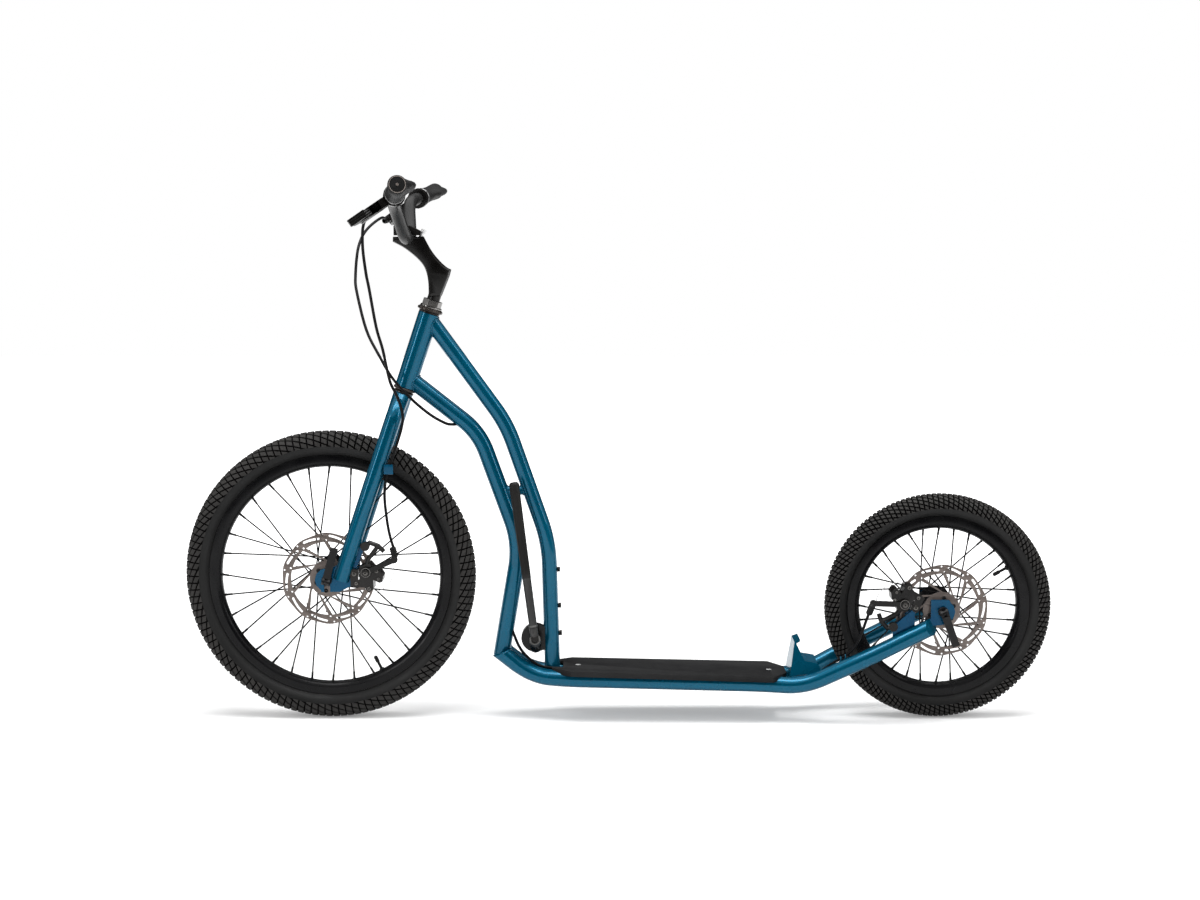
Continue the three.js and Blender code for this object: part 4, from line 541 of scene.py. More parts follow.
low_foot = Vector(LOWER_CORNERS[-1])
nose_corner = Vector((DECK_KNEE_X, 0, deck_height(DECK_KNEE_X)))
nose_run = (nose_corner - low_foot).normalized()
low_run = (low_foot - Vector(LOWER_CORNERS[-2])).normalized()
mitre = (nose_run + low_run).normalized()


def deck_centre(x):
    if x < DECK_KNEE_X:
        return nose_corner.z + (x - DECK_KNEE_X) * nose_run.z / nose_run.x
    return stay_height(x) if x > STAY_KNEE_X else deck_height(x)


def deck_side(x):
    """How far a deck tube lies from the middle of the bike."""
    plan = [(DECK_NOSE_X, DECK_NOSE_SIDE), (DECK_WIDE_X, DECK_SIDE), (DECK_SPLAY_X, DECK_SIDE),
            (STAY_X, STAY_SIDE)]
    if x <= plan[0][0]:
        return plan[0][1]
    for (from_x, from_side), (to_x, to_side) in zip(plan, plan[1:]):
        if x <= to_x:
            return from_side + (x - from_x) / (to_x - from_x) * (to_side - from_side)
    return plan[-1][1]


def smoothed(value, x, reach=2 * MAIN_RADIUS, samples=9):
    """A tube can't turn a corner at once, so its route is the mean over a short reach."""
    spots = [x + reach * (2 * k / (samples - 1) - 1) for k in range(samples)]
    return sum(value(spot) for spot in spots) / samples


def deck_path(side, spans=96):
    first, last = low_foot.x + DECK_LEAD, STAY_END_X - 3 * MAIN_RADIUS
    xs = [low_foot.x - nose_run.x * MAIN_RADIUS]
    xs += [first + (last - first) * k / spans for k in range(spans + 1)]
    xs += [STAY_END_X]
    return [Vector((x, side * smoothed(deck_side, x), smoothed(deck_centre, x))) for x in xs]


low_path = bent(LOWER_CORNERS, [36, 44])
lower_tube = swept(low_path, MAIN_RADIUS, cut_last=(low_foot, mitre))
for name, shape, node in (
    ("head_tube_barrel", head_tube, "head_tube"), ("upper_tube", upper_tube, "upper_main_tube"),
    ("lower_tube", lower_tube, "lower_main_tube"),
):
    place_piece(name, shape, teal_paint, "frame", [node], 40)

STAY_CUT_TURN = math.radians(38)
for side, name in SIDES:
    stay_cut = Vector((
        math.cos(STAY_CUT_TURN), side * math.sin(STAY_CUT_TURN), 0.5 * math.cos(STAY_CUT_TURN),
    )).normalized()
    cut_spot = Vector((STAY_END_X - MAIN_RADIUS, side * STAY_SIDE, stay_height(STAY_END_X)))
    cut_spot += 0.5 * MAIN_RADIUS * stay_cut
    deck_run = swept(
        deck_path(side), MAIN_RADIUS, cut_first=(low_foot, mitre), cut_last=(cut_spot, stay_cut),
    )
    place_piece(
        name + "_deck_run", deck_run, teal_paint, "frame",
        [name + "_deck_tube"], 40,
    )

BRIDGE_HEIGHT, BRIDGE_RADIUS = 401, 8
bridge_front, bridge_middle, bridge_rear = [(x, 0, BRIDGE_HEIGHT) for x in (-200, -180, -160)]
place_piece(
    "frame_bridge", swept([bridge_front, bridge_rear], BRIDGE_RADIUS), teal_paint, "frame",
    ["tube_bridge"], 40,
)

BEAD_THICK, BRIDGE_BEAD_THICK, FOOT_BEAD_THICK, FOOT_BEAD_STEPS = 1.7, 1.3, 1.6, 40
beads = [
    weld_bead(
        top, Vector(end) - Vector(top), radius, on_head(0), HEAD_UP, HEAD_RADIUS, BEAD_THICK,
    )
    for (end, top, *_), radius in ((UPPER_CORNERS, UPPER_RADIUS), (LOWER_CORNERS, MAIN_RADIUS))
]
beads += [
    weld_bead(
        bridge_middle, (way, 0, 0), BRIDGE_RADIUS, top, Vector(foot) - Vector(top), radius,
        BRIDGE_BEAD_THICK,
    )
    for way, (_, top, foot, _), radius in (
        (-1, LOWER_CORNERS, MAIN_RADIUS), (1, UPPER_CORNERS, UPPER_RADIUS),
    )
]
# The bead where the low tube's foot meets the noses of the two deck tubes
foot_beside = Vector((0, 1, 0)).cross(mitre).normalized()
foot_stretch = MAIN_RADIUS / math.cos(mitre.angle(low_run))
for side in (LEFT, RIGHT):
    rings = []
    for k in range(FOOT_BEAD_STEPS + 1):
        turn = math.pi * k / FOOT_BEAD_STEPS
        across = side * (DECK_NOSE_SIDE - MAIN_RADIUS * math.cos(turn))
        off = Vector((0, across, 0)) - foot_beside * foot_stretch * math.sin(turn)
        rings.append(
            ring_of(low_foot + off, FOOT_BEAD_THICK, off.normalized(), mitre, BEAD_SIDES)
        )
    beads.append(rings_to_shape(rings))
place_piece("frame_weld_beads", together(*beads), teal_paint, "frame", (), 50)

# Cable clip. A small painted steel loop on top of the left stay, ahead of the rear wheel,
# holds the brake cable's jacket. It is brazed to the tube.
CLIP_X, CLIP_INSET, CLIP_RISE, CLIP_RADIUS, CLIP_WIRE = 387, 6, 18, 4.2, 1
clip_side = LEFT * (smoothed(deck_side, CLIP_X) - CLIP_INSET)
clip_middle = Vector((CLIP_X, clip_side, smoothed(deck_centre, CLIP_X) + CLIP_RISE))
clip_turns = [math.radians(-60 + 300 * k / 16) for k in range(17)]
clip_wires = [
    swept([
        clip_middle + Vector((
            way * 4, CLIP_RADIUS * math.cos(turn), way * 2 + CLIP_RADIUS * math.sin(turn),
        ))
        for turn in clip_turns
    ], CLIP_WIRE, 10)
    for way in (-1, 1)
]
place_piece("cable_clip", together(*clip_wires), teal_paint, "frame", (), 50)

# Headset. Two pressed steel cups with the bearings in them, and a chromed lock nut with six
# flats that holds the upper one down on the steerer's thread.
cup_steel = finish_of(
    "dark_headset_steel", (0.02, 0.015, 0.013), (0.012, 0.009, 0.0075), cloud=60, grain=1500,
    bump=0.01, smooth=0.2, rough=0.32, rubbed=(0.2, 0.17, 0.15), metal=0.5, shine=0.3,
)
nut_chrome = finish_of(
    "nut_chrome", (0.2, 0.195, 0.19), (0.12, 0.115, 0.11), cloud=90, grain=1200, bump=0.01,
    smooth=0.14, rough=0.24, rubbed=(0.6, 0.58, 0.56), metal=0.95,
)
CUP_GAP, CUP_BORE, CUP_HEIGHT = 0.3, 13.1, 9
UPPER_CUP_RADIUS, LOWER_CUP_RADIUS, RACE_RADIUS = 22, 19.6, 17.6
UPPER_CUP = [
    (CUP_BORE, 0), (HEAD_RADIUS - 0.4, 0), (HEAD_RADIUS, 0.5), (HEAD_RADIUS, 2),
    (UPPER_CUP_RADIUS - 0.6, 3.4), (UPPER_CUP_RADIUS, 4.2), (UPPER_CUP_RADIUS, 6.8),
    (UPPER_CUP_RADIUS - 0.9, 7.6), (UPPER_CUP_RADIUS - 1.6, 7.8),
    (UPPER_CUP_RADIUS - 2.2, CUP_HEIGHT), (CUP_BORE, CUP_HEIGHT),
]
LOWER_CUP = [
    (CUP_BORE, 0), (HEAD_RADIUS, 0), (LOWER_CUP_RADIUS - 0.4, 0.6), (LOWER_CUP_RADIUS, 1.2),
    (LOWER_CUP_RADIUS, 3.4), (LOWER_CUP_RADIUS - 0.6, 4.2), (RACE_RADIUS - 1.4, 4.6),
    (RACE_RADIUS - 2.2, 6.4), (RACE_RADIUS, 7.2), (RACE_RADIUS, CUP_HEIGHT),
    (CUP_BORE, CUP_HEIGHT),
]
for name, profile, start, way in (
    ("upper", UPPER_CUP, HEAD_LENGTH + CUP_GAP, 1), ("lower", LOWER_CUP, -CUP_GAP, -1),
):
    place_piece(
        "headset_" + name + "_cup",
        turned(profile, on_head(start), HEAD_UP * way, 56, looped=True), cup_steel, "frame",
        [name + "_headset_cup"], 30,
    )
dressed(
    "headset_nut", "headset_lock_nut", nut_chrome, "steering", 24, 0.9,
)

# Fork. A forged crown on the steerer, two bent round steel blades brazed into it, and flat
# dropouts at their ends. All of it is painted with the frame.
BLADE_RADIUS, BLADE_CUT = 14, -10.5
BLADE_RUN = [(-21.6, 17), (-47.6, 43), (-191.6, 56), (-345, 56)]
BLADE_SIDE = BLADE_RUN[-1][1]
for side, name in SIDES:
    path = bent([on_head(height, 0, side * across) for height, across in BLADE_RUN], [15, 40])
    place_piece(
        name + "_blade", swept(path, BLADE_RADIUS, 32, cut_first=(on_head(BLADE_CUT), HEAD_UP)),
        teal_paint, "steering", [name + "_fork_blade"], 40,
    )
    dressed(
        name + "_front_dropout", name + "_fork_dropout", plate_paint_painted_shade, "steering",
        30, 0.8,
    )
dressed("crown", "fork_crown", teal_paint, "steering", 30, 1.2)

# Cable guide. A small steel block brazed behind the left blade, painted with it, which the
# front brake's cable passes through.
GUIDE_HEIGHT, GUIDE_BACK, GUIDE_SIZE = 452, 20, (16, 4, 17)
guide_middle = on_head(
    (GUIDE_HEIGHT - on_head(0).z) / HEAD_UP.z, GUIDE_BACK, LEFT * (BLADE_SIDE + BLADE_RADIUS / 2),
)
guide_rings = [
    [
        guide_middle + Vector([way * size / 2 for way, size in zip((x, y, z), GUIDE_SIZE)])
        for x, y in ((-1, -1), (1, -1), (1, 1), (-1, 1))
    ]
    for z in (-1, 1)
]
place_piece(
    "cable_guide", rings_to_shape(guide_rings), plate_paint_painted_shade, "steering", (), 30,
    1.2,
)

# Rear dropouts. Thick round-backed steel plates let into slots in the stays' ends, open
# below for the axle.
for name in ("left_rear_dropout", "right_rear_dropout"):
    dressed(name + "_plate", name, plate_paint_painted_shade, "frame", 30, 0.8)

# Footboard. A matt black moulded plastic plate with chamfered ends, held to two cross plates
# by two countersunk screws.
board_plastic = finish_of(
    "board_plastic", (0.017, 0.017, 0.0175), (0.013, 0.013, 0.0135), cloud=30, grain=1100,
    bump=0.35, smooth=0.5, rough=0.66, rubbed=0.04, rub=0.35, shine=0.02,
)
dressed("board", "footboard", board_plastic, "frame", 28, 1.3)
small_bolt_black = finish_of(
    "small_bolt_black", (0.007, 0.007, 0.0075), (0.004, 0.004, 0.0045), cloud=150, grain=1600,
    bump=0.03, smooth=0.26, rough=0.4, rubbed=0.08, shine=0.1,
)
screw_steel = finish_of(
    "screw_steel", 0.75, 0.6, cloud=150, grain=1600, bump=0.02, smooth=0.2, rough=0.36,
    rubbed=0.75, metal=0.4,
)
for end in ("front", "rear"):
    dressed(
        end + "_board_screw", "footboard_" + end + "_screw", screw_steel, "frame",
        30, 0.5,
    )
    dressed(
        end + "_cross_bar", end + "_cross_plate", teal_paint, "frame", 30, 0.6,
    )

# Heel bracket. A folded and painted steel sheet behind the footboard: a leaning face, a small
# lip over the board and a gusset on each side, welded to the deck tubes.
dressed("heel_plate", "heel_bracket", teal_paint, "frame", 30, 0.7)

# Wheels. Black wire-bead tyres with slanted block tread, black hollow alloy rims, black
# spokes laced three-cross to black hubs, and a brake rotor bolted to each hub's left side.
tread_rubber = finish_of(
    "tread_rubber", (0.023, 0.022, 0.021), (0.016, 0.0155, 0.015), cloud=25, grain=700,
    bump=0.25, smooth=0.5, rough=0.66, rubbed=(0.06, 0.058, 0.056), shine=0.08,
)
# The bare carcass between the tread blocks: the tyre's own rubber drawn nearly black, a painted
# shade in the grooves.
groove_painted_shade = finish_of(
    "groove_painted_shade", 0.003, 0.002, cloud=25, grain=700, bump=0.2, smooth=0.6, rough=0.75,
    shine=0.01,
)
wall_rubber = finish_of(
    "wall_rubber", 0.014, 0.01, cloud=14, bump=0.2, smooth=0.42, rough=0.56, rubbed=0.04,
    rub=0.3, shine=0.16,
)
rim_black = finish_of(
    "rim_black", (0.004, 0.004, 0.0045), (0.0025, 0.0025, 0.003), grain=1400, bump=0.02,
    smooth=0.2, rough=0.32, rubbed=0.06, rub=0.3, shine=0.14,
)
spoke_black = finish_of(
    "spoke_black", (0.006, 0.006, 0.0065), (0.004, 0.004, 0.0045), cloud=80, grain=1600,
    bump=0.02, rough=0.42, shine=0.06,
)
hub_black = finish_of(
    "hub_black", (0.01, 0.01, 0.0105), (0.006, 0.006, 0.0065), cloud=40, grain=1300, bump=0.03,
    smooth=0.22, rough=0.36, rubbed=0.08, shine=0.1,
)
rotor_steel = finish_of(
    "rotor_steel", (0.165, 0.138, 0.125), (0.115, 0.096, 0.087), cloud=22, rough=0.46,
    rubbed=(0.42, 0.38, 0.35), rub=0.6, metal=0.5, shine=0.3,
)
TREAD_ANGLE, TREAD_DEPTH, GROOVE, LEAST_BLOCK = math.radians(98), 2, 3, 1.5
# A block's rings, from its hidden foot to its top: how wide they are and how deep they lie
BLOCK_RINGS = ((1.06, TREAD_DEPTH + 0.4), (1, 0.35), (0.93, 0))


def clipped(outline, limit, way):
    """The part of a flat outline that lies inside one limit of its second value."""
    kept = []
    for i, here in enumerate(outline):
        before = outline[i - 1]
        here_in, before_in = way * here[1] <= limit, way * before[1] <= limit
        if here_in != before_in:
            share = (way * limit - before[1]) / (here[1] - before[1])
            kept.append((before[0] + share * (here[0] - before[0]), way * limit))
        if here_in:
            kept.append(here)
    return kept


def wheel_point(axle, radius, turn, across):
    return axle + Vector((radius * math.cos(turn), across, radius * math.sin(turn)))


def section_lengths(width, height, steps=400):
    """Arc length across a tyre's section, from its crown, for even steps of angle."""
    lengths = [0]
    last = None
    for k in range(steps + 1):
        turn = TREAD_ANGLE * k / steps
        spot = (width / 2 * math.sin(turn), height / 2 * math.cos(turn))
        if last:
            lengths.append(lengths[-1] + math.dist(spot, last))
        last = spot
    return lengths


def tread_blocks(axle, radius, width, height, columns, row):
    """Every tread block: a slanted four-sided top and its flanks down to the carcass."""
    lengths = section_lengths(width, height)
    steps = len(lengths) - 1
    half = lengths[-1]
    middle = radius - height / 2

    def at_section(turn, across, sink):
        reach = min(abs(across), half)
        low = min(bisect.bisect_right(lengths, reach), steps) - 1
        share = (reach - lengths[low]) / (lengths[low + 1] - lengths[low])
        angle = math.copysign(TREAD_ANGLE * (low + share) / steps, across)
        out = middle + (height / 2 - sink) * math.cos(angle)
        return wheel_point(axle, out, turn, (width / 2 - sink) * math.sin(angle))

    corners, faces = [], []
    pitch = 2 * math.pi / columns
    margin = GROOVE / 2 / radius
    rows = int(half / row) + 2
    for column in range(columns):
        start, end = column * pitch + margin, (column + 1) * pitch - margin
        lean = 0.5 * (column % 2)
        for n in range(-rows - 1, rows + 1):
            low, high = (n + lean) * row + GROOVE / 2, (n + 1 + lean) * row - GROOVE / 2
            shift = row / 2 * (1 - 2 * margin / pitch)
            outline = [(start, low), (end, low + shift), (end, high + shift), (start, high)]
            for way in (1, -1):
                outline = clipped(outline, half, way) if len(outline) > 2 else []
            if len(outline) < 3:
                continue
            if max(v for u, v in outline) - min(v for u, v in outline) < LEAST_BLOCK:
                continue
            base = len(corners)
            count = len(outline)
            mid_u = sum(u for u, v in outline) / count
            mid_v = sum(v for u, v in outline) / count
            for spread, sink in BLOCK_RINGS:
                for u, v in outline:
                    u, v = mid_u + (u - mid_u) * spread, mid_v + (v - mid_v) * spread
                    corners.append(at_section(u, v, sink))
            for level in (0, 1):
                for k in range(count):
                    first, after = base + level * count + k, base + level * count + (k + 1) % count
                    faces.append((first, after, after + count, first + count))
            faces.append(tuple(base + 2 * count + k for k in range(count)))
    return corners, faces


ROTOR_RADIUS, ROTOR_WAVE, ROTOR_THICKNESS, ROTOR_ARMS = 80, 1.6, 1.8, 10
ROTOR_TRACK_INNER, ROTOR_RING, ROTOR_BORE, ARM_WIDTH, ARM_SWEEP = 64, 32, 13, 7.4, 33
EDGE_STEPS, ARC_STEPS = 240, 6
SLOT_RADIUS, SLOT_RISE, SLOT_TURN, SLOT_SWEEP, SLOT_HALF = 70.5, 4, -27, 22, 1.9
# Small holes by each node: distance from the axle, turn from the node and radius
ROTOR_VENTS = ((66.8, 0, 1.6), (76.6, 4.5, 1.5), (58, -6, 1.4))


def polar(radius, degrees):
    turn = math.radians(degrees)
    return Vector((radius * math.cos(turn), radius * math.sin(turn)))


def round_hole(centre, radius, steps=14):
    return [centre + polar(radius, 360 * k / steps) for k in range(steps)]


def rotor_edge(first_node):
    """The rotor's outer edge, with a shallow wave between its ten nodes."""
    edge = []
    for k in range(EDGE_STEPS):
        turn = 360 * k / EDGE_STEPS
        wave = 0.5 + 0.5 * math.cos(math.radians(ROTOR_ARMS * (turn - first_node)))
        edge.append(polar(ROTOR_RADIUS - ROTOR_WAVE * (1 - wave), turn))
    return edge


def rotor_holes(first_node):
    """The bore, the windows between swept arms, and each node's slot and small holes."""
    holes = [round_hole(Vector((0, 0)), ROTOR_BORE, 40)]
    shares = [n / ARC_STEPS for n in range(ARC_STEPS + 1)]
    step = 360 / ROTOR_ARMS
    for k in range(ROTOR_ARMS):
        node = first_node + step * k
        edges = []
        for centre, way in ((node, 1), (node + step, -1)):
            top = polar(ROTOR_TRACK_INNER, centre)
            foot = polar(ROTOR_RING, centre - ARM_SWEEP)
            run = (top - foot).normalized()
            beside = Vector((-run.y, run.x)) * way * ARM_WIDTH / 2
            edges.append((top + beside, foot + beside))
        (top_a, foot_a), (top_b, foot_b) = edges
        window = []
        for start, end, radius in ((top_a, top_b, ROTOR_TRACK_INNER), (foot_b, foot_a, ROTOR_RING)):
            first = math.degrees(math.atan2(start.y, start.x))
            last = math.degrees(math.atan2(end.y, end.x))
            sweep = (last - first + 180) % 360 - 180
            window += [polar(radius, first + sweep * share) for share in shares]
        holes.append(window)
        slot = [
            polar(SLOT_RADIUS + SLOT_RISE * share, node + SLOT_TURN + SLOT_SWEEP * share)
            for share in shares
        ]
        loop = []
        for spots in (slot, slot[::-1]):
            for n, spot in enumerate(spots):
                run = (spots[min(n + 1, ARC_STEPS)] - spots[max(n - 1, 0)]).normalized()
                loop.append(spot + Vector((run.y, -run.x)) * SLOT_HALF)
            loop.append(spots[-1] + run * SLOT_HALF)
        holes.append(loop)
        holes += [round_hole(polar(out, node + turn), radius) for out, turn, radius in ROTOR_VENTS]
    return holes


def pierced_plate(outline, holes, thickness, centre, edge=0.25):
    """A flat plate across the wheel's axis, with holes and rounded edges."""
    data = bpy.data.curves.new("plate_outline", "CURVE")
    data.dimensions = "2D"
    data.fill_mode = "BOTH"
    data.extrude = thickness / 2 - edge
    data.bevel_depth = edge
    data.bevel_resolution = 1
    data.offset = -edge
    for loop in [outline] + holes:
        spline = data.splines.new("POLY")
        spline.points.add(len(loop) - 1)
        for point, spot in zip(spline.points, loop):
            point.co = (spot.x, spot.y, 0, 1)
        spline.use_cyclic_u = True
    plate = bpy.data.objects.new("plate_outline", data)
    scene.collection.objects.link(plate)
    bpy.context.view_layer.update()
    mesh = bpy.data.meshes.new_from_object(plate.evaluated_get(
        bpy.context.evaluated_depsgraph_get()
    ))
    corners = [centre + Vector((v.co.x, v.co.z, v.co.y)) for v in mesh.vertices]
    faces = [tuple(face.vertices) for face in mesh.polygons]
    bpy.data.objects.remove(plate)
    bpy.data.curves.remove(data)
    bpy.data.meshes.remove(mesh)
    return corners, faces


CARCASS_SWEEP, CARCASS_STEPS, WIRE_BED, RIM_WIDTH, RIM_LIP = 150, 40, 10, 27, 1.8
HUB_RADIUS, HUB_NECK, HUB_END, HUB_BORE, ROTOR_SEAT = 14, 11, 9, 4.8, 23.5
FLANGE_RADIUS, FLANGE_FOOT, FLANGE_HALF = 29, 15, 1.5
FLANGE = [
    (FLANGE_RADIUS - 0.8, -FLANGE_HALF), (FLANGE_RADIUS, -0.8), (FLANGE_RADIUS, 0.8),
    (FLANGE_RADIUS - 0.8, FLANGE_HALF),
]
SPOKE_RADIUS, SPOKE_COUNT, SPOKE_CROSS = 1.3, 32, 3
SPOKE_RING, SPOKE_LANE, RIM_SPLAY = 26, 1.9, 2.6
NIPPLE = [(0.6, -1), (2.3, -1), (2.3, 1.5), (1.9, 2.4), (1.9, 11), (1.5, 12), (0.6, 12)]
SPOKE_HEAD = [(0.4, 0), (1.9, 0), (1.9, 1), (1.2, 1.6), (0.4, 1.6)]
DISC_BOLT = [(1.2, 0.9), (1.2, 2.2), (2.4, 2.4), (3.4, 1.8), (3.7, 0), (1.2, 0)]
DISC_BOLT_RING, DISC_BOLT_COUNT, DISC_BOLT_TURN = 22, 6, 20
VALVE = [
    (0.5, 0), (4.6, 0), (4.6, 1.6), (2.6, 2.2), (2.4, 14), (3.2, 14.4), (3.4, 16), (3.4, 24),
    (2.6, 25.6), (1.2, 26.6), (0.5, 26.6),
]
WHEELS = {
    "front": dict(
        axle=FRONT_AXLE, radius=253, width=50, height=46, rim_outer=209, rim_inner=190, left=-21,
        right=30, spacing=100, rotor_side=-39.5, rotor_node=92.5, columns=124, row=10.8,
        valve_turn=-63,
    ),
    "rear": dict(
        axle=REAR_AXLE, radius=198, width=47, height=43, rim_outer=157, rim_inner=137, left=-26,
        right=32, spacing=110, rotor_side=-44.5, rotor_node=86.7, columns=134, row=8,
        valve_turn=29,
    ),
}
for name, wheel in WHEELS.items():
    body = name + "_wheel"
    axle, radius, width, height = [wheel[key] for key in ("axle", "radius", "width", "height")]
    wide, tall = width / 2 - TREAD_DEPTH, height / 2 - TREAD_DEPTH
    middle = radius - height / 2
    outer, inner, rim_half = wheel["rim_outer"], wheel["rim_inner"], RIM_WIDTH / 2
    section = []
    for k in range(CARCASS_STEPS + 1):
        turn = math.radians(CARCASS_SWEEP * (2 * k / CARCASS_STEPS - 1))
        section.append((middle + tall * math.cos(turn), wide * math.sin(turn)))
    section += [(outer - 1, WIRE_BED), (outer - 1, -WIRE_BED)]
    carcass = place_piece(
        name + "_carcass", turned(section, axle, (0, 1, 0), 160, looped=True), wall_rubber, body,
        [name + "_tyre"], 50,
    )
    # Faces under the tread get the grooves' painted shade.
    carcass.data.materials.append(groove_painted_shade)
    for face in carcass.data.polygons:
        centre = face.center / MM
        out = (math.hypot(centre.x - axle.x, centre.z - axle.z) - middle) / tall
        if math.atan2(abs(centre.y / wide), out) < TREAD_ANGLE:
            face.material_index = 1
    blocks = tread_blocks(axle, radius, width, height, wheel["columns"], wheel["row"])

    half_section = [
        (inner, 3), (inner + 1.2, 7), (inner + 3.5, 10), (inner + 7, rim_half - 1),
        (inner + 9, rim_half), (outer, rim_half), (outer + 1.6, rim_half - 0.5),
        (outer + RIM_LIP, rim_half - 1.4), (outer, rim_half - 2.2), (outer - 5, rim_half - 3),
    ]
    section = half_section + [(out, -across) for out, across in reversed(half_section)]
    rim = turned(section, axle, (0, 1, 0), 144, looped=True)

    hub_end = wheel["spacing"] / 2 - 1.2
    left, right, rotor_side = wheel["left"], wheel["right"], wheel["rotor_side"]
    profile = [
        (HUB_BORE, -hub_end), (HUB_END, -hub_end), (HUB_NECK, -hub_end + 2),
        (HUB_NECK, rotor_side + 1.2), (ROTOR_SEAT - 0.5, rotor_side + 1.2),
        (ROTOR_SEAT, rotor_side + 2), (ROTOR_SEAT, rotor_side + 6), (16, rotor_side + 8),
        (FLANGE_FOOT, left - 2.4), *[(out, left + across) for out, across in FLANGE],
        (FLANGE_FOOT, left + 2.6), (HUB_RADIUS, left + 6), (HUB_RADIUS, right - 6),
        (FLANGE_FOOT, right - 2.6), *[(out, right + across) for out, across in FLANGE],
        (FLANGE_FOOT, right + 2.4), (HUB_NECK, right + 5), (HUB_NECK, hub_end - 2),
        (HUB_END, hub_end), (HUB_BORE, hub_end),
    ]
    hub = turned(profile, axle, (0, 1, 0))

    per_side = SPOKE_COUNT // 2
    pitch = 2 * math.pi / per_side
    spokes, nipples = [], []
    for side, flange in ((LEFT, left), (RIGHT, right)):
        for i in range(per_side):
            way = -1 if i % 2 else 1
            lane = SPOKE_LANE * way
            rim_turn = pitch * (i + (0 if side == LEFT else 0.5))
            hub_turn = rim_turn + SPOKE_CROSS * pitch * way
            foot = wheel_point(axle, SPOKE_RING, hub_turn, flange + side * FLANGE_HALF + lane)
            tip = wheel_point(axle, inner - 0.3, rim_turn, side * RIM_SPLAY + lane / 2)
            spokes.append(swept([foot, tip], SPOKE_RADIUS, 8))
            nipples.append(turned(NIPPLE, tip, foot - tip, 10))
            head_foot = foot + Vector((0, 0.2 * way, 0))
            nipples.append(turned(SPOKE_HEAD, head_foot, (0, way, 0), 10))

    first_node = wheel["rotor_node"]
    disc = pierced_plate(
        rotor_edge(first_node), rotor_holes(first_node), ROTOR_THICKNESS,
        axle + Vector((0, rotor_side, 0)),
    )
    bolts = []
    for k in range(DISC_BOLT_COUNT):
        turn = math.radians(360 * k / DISC_BOLT_COUNT + DISC_BOLT_TURN)
        spot = wheel_point(axle, DISC_BOLT_RING, turn, rotor_side - 1)
        bolts.append(turned(DISC_BOLT, spot, (0, -1, 0), 20, looped=True))
    turn = math.radians(wheel["valve_turn"])
    valve = turned(
        VALVE, wheel_point(axle, inner - 0.2, turn, 0), (-math.cos(turn), 0, -math.sin(turn)), 20,
    )
    for part, shape, finish, slot, stands_for, crease in (
        ("_tread", blocks, tread_rubber, "tyre_rubber", (), 40),
        ("_wheel_rim", rim, rim_black, "black_alloy", [name + "_rim"], 24),
        ("_hub_shell", hub, hub_black, "black_alloy", (), 30),
        ("_spokes", together(*spokes), spoke_black, "black_alloy", [name + "_spoked_hub"], 50),
        ("_nipples", together(*nipples), small_bolt_black, "black_alloy", (), 30),
        ("_brake_disc", disc, rotor_steel, "rotor_steel", [name + "_rotor"], 30),
        ("_disc_bolts", together(*bolts), small_bolt_black, "black_metal", (), 30),
        ("_inflation_valve", valve, small_bolt_black, "soft_rubber", [name + "_valve"], 30),
    ):
        place_piece(name + part, shape, finish, body, stands_for, crease)

# Axles. Hollow steel axles with a quick-release skewer: an eye and a curved black lever on
# the left side, and a nut with flats on the right.
# Each end of the bike, and the body that carries its axle and its caliper
ENDS = (("front", "steering"), ("rear", "frame"))
for name, carrier in ENDS:
    dressed(
        name + "_skewer", name + "_axle", small_bolt_black, carrier, 30, 0.5,
    )
    dressed(
        name + "_release_blade", name + "_quick_release_lever", small_bolt_black,
        name + "_release", 30, 1.2,
    )

# Stem. A forged black alloy quill stem. A cap and one silver bolt hold the handlebar in it.
forged_black = finish_of(
    "forged_black", (0.004, 0.0036, 0.0034), (0.0025, 0.0022, 0.002), cloud=40, grain=1200,
    smooth=0.22, rough=0.34, rubbed=(0.03, 0.028, 0.026), rub=0.4, shine=0.2,
)
STEM_WIDTH, STEM_EDGE, QUILL_RADIUS, STEM_TOP = 34, 5, 11.1, 839.4
STEM_FRONT = [
    (-386.5, STEM_TOP), (-386.8, 831), (-366, 819.5), (-344, 801.5), (-332, 785), (-327, 764),
    (-326.4, 738),
]
STEM_BACK = [(-289, 783), (-298, 788), (-311, 800.5), (-323, 816), (-334, 836), (-335, STEM_TOP)]
STEM_CORNERS = [(-305.8, 738), (-291.9, 772)]


def flowing(points, steps=6):
    """A smooth line through every point."""
    points = [Vector(point) for point in points]
    ends = [2 * points[0] - points[1]] + points + [2 * points[-1] - points[-2]]
    path = []
    for i in range(1, len(ends) - 2):
        before, here, there, after = ends[i - 1:i + 3]
        for k in range(steps):
            t = k / steps
            path.append(0.5 * (
                2 * here + (there - before) * t
                + (2 * before - 5 * here + 4 * there - after) * t ** 2
                + (3 * here - before - 3 * there + after) * t ** 3
            ))
    return path + [points[-1]]


def smooth_side(points):
    """The points of a smooth curve of the stem's side view."""
    return [Vector((spot.x, spot.z)) for spot in flowing([(x, 0, z) for x, z in points], 5)]


stem_outline = smooth_side(STEM_FRONT[1:]) + [Vector(spot) for spot in STEM_CORNERS]
stem_outline += smooth_side(STEM_BACK) + [Vector(STEM_FRONT[0])]
stem_side = pierced_plate(stem_outline, [], STEM_WIDTH, Vector(), STEM_EDGE)
quill = swept([on_head(HEAD_LENGTH - 30), on_head(HEAD_LENGTH + 50)], QUILL_RADIUS, 32)
place_piece(
    "stem", together(stem_side, quill), forged_black, "steering",
    ["quill_stem"], 30,
)
dressed("stem_cap", "stem_clamp_cap", forged_black, "steering", 30, 1)
dressed("stem_bolt", "stem_clamp_bolt", screw_steel, "steering", 30, 0.5)

